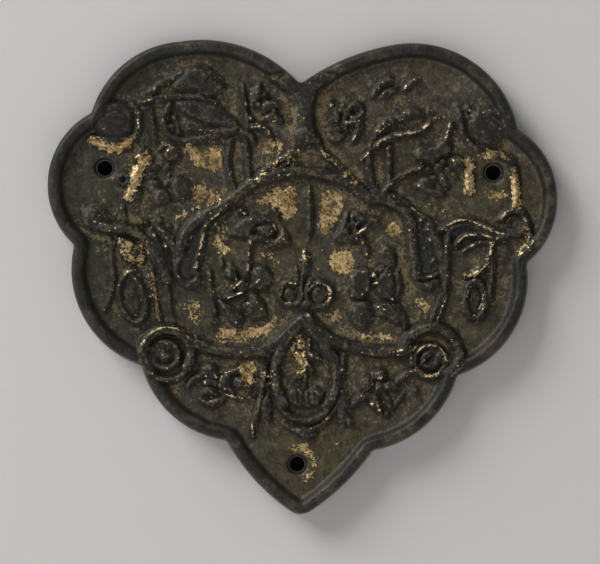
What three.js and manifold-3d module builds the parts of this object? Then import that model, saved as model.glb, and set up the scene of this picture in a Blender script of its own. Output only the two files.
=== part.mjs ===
// A cast and gilded wall plaque: a lobed plate with a half-round rim, a flat back, three nail
// holes and a raised ornament of scrolling stems, leaves and flowers. It is one casting.
// It stands upright: +X to the right, +Z up, the front towards -Y, the back on Y = 0.

import * as THREE from 'three';
import { mergeVertices } from 'three/addons/utils/BufferGeometryUtils.js';
import Module from 'manifold-3d';

const wasm = await Module();
wasm.setup();

// Driving sizes, in millimetres.
const WIDTH = 78;
const FIELD_THICKNESS = 2.0;
const WALL_SLOPE = 0.25;
const RIM_WIDTH = 2.4;
const RIM_HEIGHT = 1.3;
const NAIL_HOLE_DIAMETER = 3.0;
const FRAME_HEIGHT = 1.0;
const LEAF_HEIGHT = 0.85;
const STEM_HEIGHT = 0.7;
const FLOWER_HEIGHT = 0.95;
const ROOT_DEPTH = 0.3;
const FACET_LENGTH = 2.1;

// The outline and the ornament are a free form. Their places and widths are hundredths of the
// plaque's width, counted from its middle, to the right and up.
const UNIT = WIDTH / 100;
const NOTCH_ROUNDING = 1.0;
const TIP_ROUNDING = 3.7;
const COLUMN_WIDTH = 3.8;
const FRAME_WIDTH = 2.5;
const STEM_WIDTH = 1.7;
const LINE_WIDTH = 1.2;
const RIM_SIDES = 5;
const SECTION_SIDES = 6;
const RING_SIDES = 12;
const HOLE_SIDES = 24;
const SCROLL_STEP_DEGREES = 45;

// How evenly wide a stroke is. At 1 it swells only at its middle, and more makes it fuller.
const BAND_FULLNESS = 4;
const STEM_FULLNESS = 3;
const LEAF_FULLNESS = 1.3;

// A flower's petals start at this share of their reach, and a rosette's eye is this much wider
// than its petals.
const PETAL_START = 0.3;
const EYE_TO_PETAL = 1.3;

const NAIL_HOLES = [[-38.2, 21.3], [37.8, 20.4], [-0.6, -36.6]];

// The edge runs clockwise from the notch at the top. Each arc bulges outwards: the point it runs
// to, its radius, and how its far corner is rounded.
const EDGE = [
  { to: [18.5, 45.6], radius: 44, corner: 'smooth' },
  { to: [42.8, 29.0], radius: 21.3, corner: 'notch' },
  { to: [44.5, 2.6], radius: 16.2, corner: 'notch' },
  { to: [30.9, -19.4], radius: 20, corner: 'notch' },
  { to: [14.3, -34.1], radius: 21, corner: 'notch' },
  { to: [0.1, -47.2], radius: 45, corner: 'tip' },
  { to: [-14.5, -32.1], radius: 41, corner: 'notch' },
  { to: [-31.1, -17.4], radius: 20, corner: 'notch' },
  { to: [-44.3, 6.2], radius: 19.9, corner: 'notch' },
  { to: [-40.9, 32.2], radius: 16, corner: 'notch' },
  { to: [-23.4, 46.2], radius: 19.6, corner: 'smooth' },
  { to: [0, 37.9], radius: 25.7, corner: 'notch' },
];

// The centre of the circle of the given radius through two points, on the plaque's side.
function arcCentre(from, to, radius) {
  const half = to.clone().sub(from).multiplyScalar(0.5);
  const inward = new THREE.Vector2(half.y, -half.x).normalize();
  const reach = Math.sqrt(radius ** 2 - half.lengthSq());
  return from.clone().add(half).addScaledVector(inward, reach);
}

// Where two circles cross, at the crossing nearer to the given point.
function crossing(first, firstRadius, second, secondRadius, near) {
  const between = second.clone().sub(first);
  const gap = between.length();
  const along = (gap ** 2 + firstRadius ** 2 - secondRadius ** 2) / (2 * gap);
  const aside = Math.sqrt(firstRadius ** 2 - along ** 2);
  const foot = first.clone().addScaledVector(between, along / gap);
  const side = new THREE.Vector2(-between.y, between.x).multiplyScalar(aside / gap);
  const found = [foot.clone().add(side), foot.clone().sub(side)];
  return found.sort((a, b) => a.distanceTo(near) - b.distanceTo(near))[0];
}

// The edge as arcs that run smoothly into each other: the lobes, and between them the rounded
// notches and the rounded tip. A notch curves the other way, so its radius is negative.
function edgeArcs() {
  const corners = EDGE.map((arc) => new THREE.Vector2(...arc.to));
  const centres = EDGE.map((arc, i) => arcCentre(corners.at(i - 1), corners[i], arc.radius));
  const joins = EDGE.map((arc, i) => {
    const next = (i + 1) % EDGE.length;
    if (arc.corner === 'smooth') return { in: corners[i], out: corners[i] };
    const radius = arc.corner === 'tip' ? TIP_ROUNDING : -NOTCH_ROUNDING;
    const centre = crossing(
      centres[i], arc.radius - radius, centres[next], EDGE[next].radius - radius, corners[i]);
    const touch = (lobe) => centre.clone().addScaledVector(
      centre.clone().sub(lobe).normalize(), radius);
    return { centre, radius, in: touch(centres[i]), out: touch(centres[next]) };
  });
  return EDGE.flatMap((arc, i) => {
    const lobe = { centre: centres[i], radius: arc.radius, from: joins.at(i - 1).out, to: joins[i].in };
    const join = joins[i];
    return join.centre ? [lobe, { ...join, from: join.in, to: join.out }] : [lobe];
  });
}

// The edge moved inwards by an inset, as a ring of points. Every ring has the same number.
function edgeRing(inset) {
  return edgeArcs().flatMap(({ centre, radius, from, to }) => {
    const start = from.clone().sub(centre).angle();
    const turn = THREE.MathUtils.euclideanModulo(
      to.clone().sub(centre).angle() - start + Math.PI, 2 * Math.PI) - Math.PI;
    const steps = Math.max(2, Math.ceil(Math.abs(turn * radius * UNIT) / FACET_LENGTH));
    const reach = Math.abs(radius * UNIT - inset);
    return Array.from({ length: steps }, (_, k) => {
      const angle = start + (turn * k) / steps;
      return new THREE.Vector2(Math.cos(angle), Math.sin(angle))
        .multiplyScalar(reach).addScaledVector(centre, UNIT);
    });
  });
}

// The plate with its rim: a turned disc whose rings are drawn out to the lobed edge. The profile
// runs from the middle of the front, over the half-round rim, to the middle of the back.
function plateGeometry() {
  const profile = [{ depth: FIELD_THICKNESS }];
  for (let k = 0; k <= RIM_SIDES; k++) {
    const angle = (Math.PI * k) / RIM_SIDES;
    profile.push({
      inset: WALL_SLOPE + RIM_WIDTH * (1 + Math.cos(angle)) / 2,
      depth: FIELD_THICKNESS + RIM_HEIGHT * Math.sin(angle),
    });
  }
  profile.push({ inset: 0, depth: 0 }, { depth: 0 });
  const rings = profile.map(({ inset }) => (inset === undefined ? null : edgeRing(inset)));
  const sides = rings[1].length;
  const disc = new THREE.LatheGeometry(
    profile.map(({ inset, depth }) => new THREE.Vector2(inset === undefined ? 0 : 1, -depth)), sides);
  const place = disc.attributes.position;
  for (let i = 0; i < place.count; i++) {
    const ring = rings[i % profile.length];
    if (!ring) continue;
    const point = ring[Math.floor(i / profile.length) % sides];
    place.setXYZ(i, point.x, place.getY(i), point.y);
  }
  return disc;
}

// A raised stroke along a smooth curve: a drawn-out ball with a low faceted back, half sunk in
// the field.
function stroke(route, width, height, fullness) {
  const curve = new THREE.CatmullRomCurve3(
    route.map(([x, z]) => new THREE.Vector3(x, 0, z).multiplyScalar(UNIT)));
  const steps = Math.max(4, Math.ceil(curve.getLength() / FACET_LENGTH));
  const ball = new THREE.SphereGeometry(1, SECTION_SIDES, steps);
  const place = ball.attributes.position;
  for (let i = 0; i < place.count; i++) {
    const along = Math.floor(i / (SECTION_SIDES + 1)) / steps;
    const around = (2 * Math.PI * (i % (SECTION_SIDES + 1))) / SECTION_SIDES;
    const swell = Math.min(1, fullness * Math.sin(Math.PI * along));
    const point = curve.getPointAt(along);
    const heading = curve.getTangentAt(along);
    const aside = Math.cos(around) * swell * width * UNIT / 2;
    const rise = Math.sin(around) * swell * (height + ROOT_DEPTH);
    place.setXYZ(
      i,
      point.x + heading.z * aside,
      ROOT_DEPTH - FIELD_THICKNESS - rise,
      point.z - heading.x * aside);
  }
  return ball;
}

const column = (...route) => stroke(route, COLUMN_WIDTH, FRAME_HEIGHT, BAND_FULLNESS);
const frame = (...route) => stroke(route, FRAME_WIDTH, FRAME_HEIGHT, BAND_FULLNESS);
const stem = (...route) => stroke(route, STEM_WIDTH, STEM_HEIGHT, STEM_FULLNESS);
const line = (...route) => stroke(route, LINE_WIDTH, STEM_HEIGHT, STEM_FULLNESS);
const leaf = (width, ...route) => stroke(route, width, LEAF_HEIGHT, LEAF_FULLNESS);
const petal = (width, ...route) => stroke(route, width, FLOWER_HEIGHT, LEAF_FULLNESS);

// A low dome, as wide as it is long.
function boss(x, z, width) {
  return petal(width, [x - width / 2, z], [x + width / 2, z]);
}

// A closed raised ring, round or drawn out upwards.
function ring(x, z, radius, tallness = 1) {
  const tubeRadius = LINE_WIDTH * UNIT / 2;
  const torus = new THREE.TorusGeometry(radius * UNIT, tubeRadius, SECTION_SIDES, RING_SIDES);
  torus.rotateX(Math.PI / 2);
  torus.scale(1, STEM_HEIGHT / tubeRadius, tallness);
  torus.translate(x * UNIT, -FIELD_THICKNESS, z * UNIT);
  return torus;
}

// A stem wound into a scroll, from its outer end inwards, clockwise when the turn is positive.
function scroll(x, z, outer, inner, start, turn) {
  const steps = Math.ceil(Math.abs(turn) / SCROLL_STEP_DEGREES);
  const route = Array.from({ length: steps + 1 }, (_, k) => {
    const angle = THREE.MathUtils.degToRad(start - (turn * k) / steps);
    const radius = outer + ((inner - outer) * k) / steps;
    return [x + radius * Math.cos(angle), z + radius * Math.sin(angle)];
  });
  return stem(...route);
}

// A flower seen from above: a dome, and petals around it that each point outwards. Each petal is
// its direction in degrees, how far its tip reaches, and its width.
function flower(x, z, eye, petals) {
  const leaves = petals.map(([direction, reach, width]) => {
    const angle = THREE.MathUtils.degToRad(direction);
    const at = (distance) => [x + distance * Math.cos(angle), z + distance * Math.sin(angle)];
    return petal(width, at(reach * PETAL_START), at(reach));
  });
  return [boss(x, z, eye), ...leaves];
}

// A round flower whose petals are all alike.
function rosette(x, z, reach, count, width) {
  const petals = Array.from({ length: count }, (_, k) => [(360 * k) / count, reach, width]);
  return flower(x, z, width * EYE_TO_PETAL, petals);
}

// The raised frame: the column from the top notch, the pointed arch below it, the two bands and
// the drop that hangs from them, with its palmette and its sprig.
function frameWork() {
  return [
    column([0.4, 36.2], [1, 31], [1.4, 26]),
    frame([-14, 14.6], [-7.5, 19.1], [0.6, 20.5], [8, 18.9], [14.5, 14.9]),
    stem([1.2, 26.6], [-3.3, 23.2], [-8, 19.8], [-12.6, 15.8]),
    stem([3.2, 26.6], [7.4, 21.8], [10.8, 18.4], [13.4, 15.7]),
    frame([-20.4, -12.9], [-14, -14.6], [-8, -14.3], [-4, -12.3], [0.6, -8]),
    frame([21, -14.3], [14, -14.5], [8.5, -13.3], [5, -11.5], [1.4, -8]),
    frame([0.7, -8.2], [-3, -12.6], [-4.8, -17.6], [-4.5, -22], [-3, -24.6]),
    frame([1, -8.2], [4.6, -12.8], [7, -17.4], [6.6, -22.4], [5, -25.4]),
    leaf(2.8, [-4.6, -23.6], [-2.6, -26.9], [1.4, -28], [4.6, -26.9], [6.4, -24.4]),
    leaf(4, [-2.8, -23.2], [1.2, -23.8], [5, -23]),
    petal(4.6, [0.9, -28.8], [0.9, -32.2]),
    line([1.7, -10.4], [1.8, -15], [0.9, -21.4]),
    leaf(1.8, [0.9, -18], [-1.8, -20.6]),
    leaf(1.8, [1.6, -15.4], [4, -17]),
    stem([-5.8, -14.4], [-6.9, -19], [-7.6, -23.4], [-8.9, -28.6]),
    stem([8.6, -15.2], [8.1, -20.6], [8.5, -24], [9.6, -28.6]),
    leaf(2.8, [-6.3, -22.8], [-6.3, -28.8]),
    leaf(2.8, [7.6, -23], [8.5, -29.2]),
  ];
}

// The two split leaves that hang from the ends of the arch, and the small petals beside them.
function hangingLeaves() {
  return [
    frame([-13, 15.4], [-18.2, 12.3], [-21.8, 9.2], [-23.4, 5]),
    stem([-22, 7.2], [-24, 2.4], [-22.8, -1.1], [-20, 0.2]),
    stem([-14.6, 13.4], [-18.6, 9.6], [-19.4, 5.4], [-20.4, 1]),
    leaf(3.4, [-18.6, 10.4], [-21.4, 5.6], [-22, -0.4]),
    leaf(2.4, [-23.6, -1], [-21.6, -2], [-19.4, -0.6]),
    leaf(2.6, [-29.4, 10.2], [-27.2, 4.2], [-24.6, 1.2]),
    leaf(2, [-27.6, 9.4], [-25, 6.6], [-22.8, 3]),
    stem([13.5, 15.6], [18.8, 14], [21.6, 10.6], [22.1, 5], [22.7, 0.4]),
    frame([17.4, 16], [22.4, 13], [26.4, 8], [27.9, 3.6], [28.4, -1.6]),
    leaf(3.4, [22.6, 11.2], [24.8, 6], [25, 0.6]),
    leaf(2.4, [22.4, -0.4], [24.8, -1.8], [27.4, -0.6]),
  ];
}

// The long stems and the leaf scrolls that run out into the side lobes.
function sideStems() {
  return [
    frame([-38.4, 9.6], [-32.6, 8.8], [-28.4, 5], [-26, -0.4]),
    line([-28.8, 1.4], [-28.4, -3.4], [-27.2, -8.4]),
    line([-26, -0.6], [-25.5, -4.4], [-24.7, -8.8]),
    boss(-39.7, 11.4, 5.8),
    line([-36.7, 7.4], [-36.5, 0], [-38.3, -6.8]),
    leaf(4, [-35.6, 7.4], [-32.6, 5.2], [-30, 2.8]),
    leaf(3, [-33.4, 1], [-33, -4], [-32.4, -8.6]),
    line([-34, 0.8], [-35.2, -3.4], [-32.2, -8.9]),
    line([-33.4, 1.2], [-30.2, -4.4], [-32.2, -8.9]),
    stem([27.4, 9.2], [31.4, 11.2], [35.6, 10.1], [40.6, 8.3]),
    stem([30.4, 6.4], [32.4, 8.2], [36, 8.2], [40.2, 7.6]),
    leaf(1.8, [29.2, 9.2], [28.6, 3], [28.3, -2.2]),
    line([28.4, -2], [28.2, -4.6], [26.8, -8.6]),
    stem([42, 21], [42, 15.4], [39.6, 11.8]),
    ring(41.8, 10.3, 2.3),
    stem([43.4, 12.6], [44.9, 8], [42, 3.8]),
    stem([37.5, 6.2], [36.4, 2.8], [32.4, 0.2]),
    stem([37.5, 4], [37.4, 0], [37.1, -4]),
    ring(34.2, -4.4, 2, 1.8),
    line([36.7, -4.6], [35.6, -7.2], [34.4, -9]),
  ];
}

// The scrolls: two round ones in the lower lobes, and two domed ones in the upper lobes.
function scrolls() {
  return [
    scroll(-26, -15, 4.9, 4.6, 205, 240),
    ring(-26.2, -15.2, 2.4),
    stem([-21.6, -17.6], [-25.8, -20], [-30.6, -16.8]),
    scroll(25.6, -15.4, 5.4, 5, 190, 230),
    ring(25.4, -16.2, 2.6),
    stem([19.2, -20.3], [21.7, -18.6], [24.6, -19.4], [28.4, -18.2]),
    boss(-36.2, 30.6, 7.8),
    stem([-32.4, 33.6], [-31.4, 30], [-32.8, 27], [-36.4, 26.2], [-40.2, 27.2]),
    leaf(2.2, [-30.2, 33.6], [-29.8, 25.8]),
    boss(36.8, 29.2, 7.6),
    stem([31.1, 32.4], [32, 27.8], [35.2, 24.6], [41.6, 22.8]),
    line([29.7, 30.2], [28.4, 26.4]),
    leaf(2, [24.8, 32.6], [28.4, 31]),
  ];
}

// The leaves, buds and narrow stems of the two top lobes.
function topLobes() {
  return [
    stem([-30.9, 34], [-25, 35.2], [-20, 35.1], [-16.2, 33.9]),
    leaf(5.2, [-24.8, 33.4], [-18, 32.2], [-11.4, 29]),
    stem([-25.4, 33.6], [-26.4, 29.8], [-22, 26.8], [-12.6, 28.8]),
    petal(6, [-25.2, 37.2], [-19.6, 38.8], [-14.4, 36.6]),
    line([-29.2, 36], [-27, 37.9], [-23.4, 39.6]),
    line([-11.2, 37.4], [-10.6, 33], [-10.2, 29.4]),
    leaf(2.6, [-9.3, 32.6], [-7.8, 37.8]),
    leaf(2.6, [-7.8, 31.6], [-3.2, 33.8]),
    leaf(2, [-7.4, 30.6], [-3.2, 30.2]),
    line([-10.2, 29.4], [-7.4, 29.2], [-5.7, 27.4]),
    stem([-13.5, 26.6], [-14, 22], [-12.8, 17.2]),
    stem([-11.4, 28.6], [-10.2, 23], [-9.7, 18.8]),
    stem([12.2, 23], [15, 26], [19.4, 27.8], [23.4, 28.6], [25.2, 30]),
    leaf(4.2, [14, 26.4], [18, 30.6], [24.8, 32.2]),
    stem([17.4, 25.2], [17.5, 18.8]),
    stem([13.8, 25.6], [13.5, 20.6], [15.2, 16.4]),
    stem([15.8, 15.8], [18.6, 19], [23.9, 21.5]),
    leaf(2.4, [13.2, 35], [15.2, 38], [18.6, 39.4]),
    leaf(2.2, [15.2, 35], [19.2, 36.6]),
    leaf(1.6, [19.6, 36], [23.4, 39]),
    ring(10.8, 32.4, 1.4),
    leaf(2.6, [5.4, 27.6], [9, 28]),
    leaf(2.4, [6.2, 33.8], [7.2, 29.4]),
    leaf(1.6, [8.4, 33.6], [8.6, 30]),
    line([8.6, 29.9], [11.8, 30.6]),
    leaf(1.8, [10.2, 26], [12.2, 29.6]),
  ];
}

// The flowers: a rosette beside each upper scroll, four around the middle, two below the bands,
// and the open bud on the middle axis.
function flowers() {
  return [
    ...rosette(-27.3, 19.5, 6.4, 8, 3),
    leaf(2.6, [-31.2, 21.6], [-33.2, 18], [-33.8, 14.8]),
    ...rosette(26.4, 20.4, 5.8, 8, 2.8),
    leaf(3, [33.2, 23.4], [32.9, 19.6], [33.3, 15.8]),
    ...flower(-7.6, 9.4, 3, [
      [150, 6.6, 3.4], [200, 5.6, 2.6], [290, 4.8, 3], [340, 5.6, 3.2], [45, 5, 3], [105, 4.6, 2.4]]),
    ...flower(11.2, 9.8, 3, [
      [15, 5.8, 3], [75, 5, 2.8], [130, 4.8, 2.8], [210, 5.6, 3.2], [265, 5.6, 2.8], [320, 5, 2.8]]),
    ...flower(-11.4, -1.8, 3.4, [
      [35, 6.6, 4.2], [125, 5, 3], [170, 4.8, 2.8], [225, 7.6, 3.4], [285, 7, 4], [330, 5.6, 3.4]]),
    ...flower(15.2, -2.2, 3.2, [
      [15, 4.6, 3], [70, 7.6, 3.6], [140, 6, 3.8], [200, 5.6, 3.6], [245, 8.4, 3.8], [310, 7, 3.4]]),
    ...flower(-17.4, -21, 2.8, [[80, 4.2, 3.8], [150, 4.6, 2.4], [225, 3.6, 2.4], [300, 4.4, 2.6]]),
    ring(-12, -21, 2.8),
    ...flower(15.4, -21.6, 2.8, [
      [75, 3.8, 2.8], [150, 4.8, 3], [215, 5.4, 2.6], [275, 5, 2.4], [330, 5, 2.6], [20, 4, 2.4]]),
    leaf(2.2, [1.7, 17.8], [1.9, 12], [1.6, 7]),
    leaf(2.8, [1.1, 5.6], [1, 0]),
    ring(-1.8, -3.3, 2.2),
    ring(3.8, -3.5, 2.3),
    stem([-9.7, 7.2], [-10.3, 0.4]),
    line([-17.6, 0.8], [-17.2, -4.4], [-17.1, -9.6]),
  ];
}

// A closed geometry as a solid that can be joined and cut. Only its places are kept, and faces
// that a turned shape closes to nothing on its axis are dropped.
function solid(geometry) {
  const bare = geometry.clone();
  bare.deleteAttribute('normal');
  bare.deleteAttribute('uv');
  const merged = mergeVertices(bare);
  const corners = merged.index.array;
  const faces = [];
  for (let i = 0; i < corners.length; i += 3) {
    const [a, b, c] = corners.subarray(i, i + 3);
    if (a !== b && b !== c && c !== a) faces.push(a, b, c);
  }
  return new wasm.Manifold(new wasm.Mesh({
    numProp: 3,
    vertProperties: merged.attributes.position.array,
    triVerts: new Uint32Array(faces),
  }));
}

function geometryOf(body) {
  const mesh = body.getMesh();
  const geometry = new THREE.BufferGeometry();
  geometry.setAttribute('position', new THREE.BufferAttribute(mesh.vertProperties, 3));
  geometry.setIndex(new THREE.BufferAttribute(mesh.triVerts, 1));
  geometry.computeVertexNormals();
  return geometry;
}

function nailHole([x, z]) {
  const reach = 2 * (FIELD_THICKNESS + RIM_HEIGHT);
  const drill = new THREE.CylinderGeometry(
    NAIL_HOLE_DIAMETER / 2, NAIL_HOLE_DIAMETER / 2, 2 * reach, HOLE_SIDES);
  drill.translate(x * UNIT, 0, z * UNIT);
  return drill;
}

function plaqueGeometry() {
  const ornament = [
    ...frameWork(), ...hangingLeaves(), ...sideStems(), ...scrolls(), ...topLobes(), ...flowers()];
  const raised = ornament.reduce((body, form) => body.add(solid(form)), solid(plateGeometry()));
  return geometryOf(NAIL_HOLES.reduce((body, place) => body.subtract(solid(nailHole(place))), raised));
}

const gildedBronze = new THREE.MeshStandardMaterial({
  name: 'gilt_bronze',
  color: 0x4b463a,
  roughness: 0.5,
  metalness: 0.8,
});

const plaque = new THREE.Mesh(plaqueGeometry(), gildedBronze);
plaque.name = 'plaque';

const part = new THREE.Group();
part.add(plaque);

export default part;
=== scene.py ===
import math

import bmesh
import bpy
import numpy as np
from mathutils import Matrix, Vector


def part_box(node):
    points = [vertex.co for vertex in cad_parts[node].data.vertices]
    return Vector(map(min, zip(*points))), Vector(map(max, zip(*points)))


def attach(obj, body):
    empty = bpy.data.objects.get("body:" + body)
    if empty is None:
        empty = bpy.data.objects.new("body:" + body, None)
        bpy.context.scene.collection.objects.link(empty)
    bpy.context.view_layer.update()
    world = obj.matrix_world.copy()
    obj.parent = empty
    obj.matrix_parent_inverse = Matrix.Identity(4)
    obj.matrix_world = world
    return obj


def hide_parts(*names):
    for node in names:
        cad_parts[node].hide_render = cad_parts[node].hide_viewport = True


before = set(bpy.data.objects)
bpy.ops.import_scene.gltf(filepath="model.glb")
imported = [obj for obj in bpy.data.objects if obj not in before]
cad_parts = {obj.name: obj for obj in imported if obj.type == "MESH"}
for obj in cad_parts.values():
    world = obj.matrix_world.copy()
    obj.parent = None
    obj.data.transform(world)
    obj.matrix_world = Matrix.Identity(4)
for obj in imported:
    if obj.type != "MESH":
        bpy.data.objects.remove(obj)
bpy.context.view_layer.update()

# The plate: one casting of copper alloy, lobed like a heart, with a rounded rim. It was cast flat
# in sand, so its front is a little uneven, its wall slopes towards the front and its back is flat.
# The frame gives its width and depth, and a unit is a hundredth of that width.
back_corner, front_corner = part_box("plaque")
unit = (front_corner.x - back_corner.x) / 100
millimetre = 0.001
depth = -back_corner.y
field_thickness = 0.618 * depth
rim_height = depth - field_thickness
wall_slope = 0.31 * unit
rim_inset = 3.6 * unit
edge_wear = 0.07 * unit
notch_rounding = 1.0
tip_rounding = 3.7

# Each stretch of the edge, clockwise: where it ends, its radius, and the corner there.
edge = [
    ((18.5, 45.6), 44, "smooth"),
    ((42.8, 29.0), 21.3, "notch"),
    ((44.5, 2.6), 16.2, "notch"),
    ((30.9, -19.4), 20, "notch"),
    ((14.3, -34.1), 21, "notch"),
    ((0.1, -47.2), 45, "tip"),
    ((-14.5, -32.1), 41, "notch"),
    ((-31.1, -17.4), 20, "notch"),
    ((-44.3, 6.2), 19.9, "notch"),
    ((-40.9, 32.2), 16, "notch"),
    ((-23.4, 46.2), 19.6, "smooth"),
    ((0, 37.9), 25.7, "notch"),
]


def arc_centre(start, end, radius):
    """The centre of the circle through two points, on the plaque's side."""
    half = (end - start) / 2
    inward = Vector((half.y, -half.x)).normalized()
    return start + half + inward * math.sqrt(radius**2 - half.length_squared)


def crossing(first, first_radius, second, second_radius, near):
    """Where two circles cross, at the crossing nearer to a point."""
    between = second - first
    gap = between.length
    along = (gap**2 + first_radius**2 - second_radius**2) / (2 * gap)
    aside = math.sqrt(first_radius**2 - along**2)
    foot = first + between * (along / gap)
    side = Vector((-between.y, between.x)) * (aside / gap)
    return min((foot + side, foot - side), key=lambda found: (found - near).length)


def edge_arcs():
    """The lobes, and between them the rounded notches and tip: centre, radius, start and end."""
    corners = [Vector(to) for to, _, _ in edge]
    centres = [arc_centre(corners[k - 1], corners[k], edge[k][1]) for k in range(len(edge))]
    joins = []
    for k, (_, radius, corner) in enumerate(edge):
        if corner == "smooth":
            joins.append((corners[k], None, 0, corners[k]))
            continue
        after = (k + 1) % len(edge)
        bend = tip_rounding if corner == "tip" else -notch_rounding
        centre = crossing(centres[k], radius - bend, centres[after], edge[after][1] - bend, corners[k])
        leaves = centre + (centre - centres[k]).normalized() * bend
        meets = centre + (centre - centres[after]).normalized() * bend
        joins.append((leaves, centre, bend, meets))
    arcs = []
    for k, (_, radius, _) in enumerate(edge):
        leaves, centre, bend, meets = joins[k]
        arcs.append((centres[k], radius, joins[k - 1][3], leaves))
        if centre is not None:
            arcs.append((centre, bend, leaves, meets))
    return arcs


def arc_table():
    """Each arc as centre, radius, first angle and turn, and the length run up to its end."""
    rows = []
    lengths = []
    for centre, radius, start, end in edge_arcs():
        first = math.atan2(start.y - centre.y, start.x - centre.x)
        last = math.atan2(end.y - centre.y, end.x - centre.x)
        turn = (last - first + math.pi) % (2 * math.pi) - math.pi
        rows.append((centre.x, centre.y, radius, first, turn))
        lengths.append(abs(turn * radius))
    return np.array(rows), np.cumsum(lengths)


arcs, run_lengths = arc_table()


def edge_points(share, inset):
    """Points on the edge at a share of its length, moved inwards by an inset, in metres."""
    run = share % 1 * run_lengths[-1]
    which = np.searchsorted(run_lengths, run, side="right").clip(0, len(arcs) - 1)
    x, z, radius, first, turn = arcs[which].T
    before = run_lengths[which] - np.abs(turn * radius)
    angle = first + turn * (run - before) / np.abs(turn * radius)
    reach = np.abs(radius * unit - inset)
    return x * unit + reach * np.cos(angle), z * unit + reach * np.sin(angle)


# The ribs of the ornament, raised in the same casting: a column hangs from the top notch and
# becomes a pointed arch, two bands meet under it, and a drop hangs from them. Places on the front
# are in units from its middle, heights in millimetres above the field, drawn on a fine board.
board_pitch = 0.12
board_across = np.arange(-52, 52, board_pitch)
board_up = np.arange(-49, 49, board_pitch)
board_x, board_z = np.meshgrid(board_across, board_up)
relief = np.zeros_like(board_x)
gilding = np.zeros_like(board_x)
gleam = np.zeros_like(board_x)
step_length = 0.7


def smooth_route(points):
    """A smooth curve through the points, as many short steps."""
    knots = np.array([points[0], *points, points[-1]], float)
    pieces = []
    for a, b, c, d in zip(knots, knots[1:], knots[2:], knots[3:]):
        steps = max(2, int(math.dist(b, c) / step_length))
        t = np.linspace(0, 1, steps, endpoint=False)[:, None]
        pieces.append(0.5 * (2 * b + (c - a) * t + (2 * a - 5 * b + 4 * c - d) * t**2
                             + (3 * b - a - 3 * c + d) * t**3))
    return np.vstack([*pieces, knots[-1:]])


def distance_to(line, reach):
    """The board's window near a line, each place's distance to it, and how far along it that is."""
    low = line.min(0) - reach
    high = line.max(0) + reach
    columns = np.searchsorted(board_across, [low[0], high[0]])
    rows = np.searchsorted(board_up, [low[1], high[1]])
    window = np.s_[rows[0]:rows[1], columns[0]:columns[1]]
    x = board_x[window]
    z = board_z[window]
    nearest = np.full(x.shape, np.inf)
    share = np.zeros(x.shape)
    for step, (start, end) in enumerate(zip(line, line[1:])):
        run = end - start
        along = ((x - start[0]) * run[0] + (z - start[1]) * run[1]) / max(run @ run, 1e-9)
        along = along.clip(0, 1)
        distance = np.hypot(x - start[0] - along * run[0], z - start[1] - along * run[1])
        nearer = distance < nearest
        nearest[nearer] = distance[nearer]
        share[nearer] = (step + along[nearer]) / (len(line) - 1)
    return window, nearest, share


def lay(board, window, values):
    board[window] = np.maximum(board[window], values)


def rounded_line(width, height, crest=2.0):
    """A kind of raised line. A higher crest makes its top flatter."""
    def draw(*points):
        window, distance, _ = distance_to(smooth_route(points), width)
        side = (distance / (width / 2)).clip(0, 1)
        lay(relief, window, height * np.sqrt(1 - side**crest))
    return draw


def closed_route(points):
    """A smooth closed curve through the points."""
    ring = smooth_route([points[-1], *points, points[0], points[1]])
    steps = [max(2, int(math.dist(a, b) / step_length))
             for a, b in ((points[-1], points[0]), (points[0], points[1]))]
    return ring[steps[0]:-(steps[1] + 1)]


def depth_inside(points, reach):
    """How deep each place lies inside a closed smooth outline, negative outside."""
    outline = closed_route(points)
    window, distance, _ = distance_to(np.vstack([outline, outline[:1]]), reach)
    x = board_x[window]
    z = board_z[window]
    crossed = np.zeros(x.shape, bool)
    for (ax, az), (bx, bz) in zip(outline, np.roll(outline, -1, axis=0)):
        spans = (az > z) != (bz > z)
        rise = bz - az if abs(bz - az) > 1e-9 else 1e-9
        crossed ^= spans & (x < ax + (z - az) * (bx - ax) / rise)
    return window, np.where(crossed, distance, -distance)


def rounded_shape(height, shoulder):
    """A kind of raised shape, with a rounded shoulder and a nearly flat top."""
    def draw(*points):
        window, deep = depth_inside(points, 1)
        side = 1 - (deep / shoulder).clip(0, 1)
        lay(relief, window, height * np.sqrt(1 - side**2))
    return draw


def groove(*points, width=0.6, deep=0.2):
    """Cuts a soft groove along a smooth line."""
    window, distance, _ = distance_to(smooth_route(points), width)
    relief[window] -= deep * (1 - (distance / (width / 2)).clip(0, 1) ** 2) ** 2


def blade(width, *points):
    """A slim leaf that swells in its middle and ends in points."""
    window, distance, share = distance_to(smooth_route(points), width)
    swell = np.sqrt(np.sin(np.pi * share.clip(0.04, 0.96)))
    side = (distance / (swell * width / 2)).clip(0, 1)
    lay(relief, window, blade_height * np.sqrt(swell) * np.sqrt(1 - side**2))


def beads(radius, *spots):
    """Raises a round bead at each spot."""
    for x, z in spots:
        window, distance, _ = distance_to(np.array([(x, z), (x + 0.01, z)]), radius)
        lay(relief, window, bead_height * np.sqrt(1 - (distance / radius).clip(0, 1) ** 2))


def gilt_patch(strength, softness=0.8):
    """A kind of gilding left in the field. Its border is soft here, and frays in the finish."""
    def leave(*points):
        window, deep = depth_inside(points, 2)
        lay(gilding, window, strength * (0.5 + deep / (2 * softness)).clip(0, 1))
    return leave


def rubbed_highlight_line(strength, width):
    """A kind of bright line on a raised edge: rubbed clean metal, lightened further as painted highlight."""
    def rub(*points):
        window, distance, _ = distance_to(smooth_route(points), width)
        lay(gleam, window, strength * (1.25 - distance / (0.42 * width)).clip(0, 1))
    return rub


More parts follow.
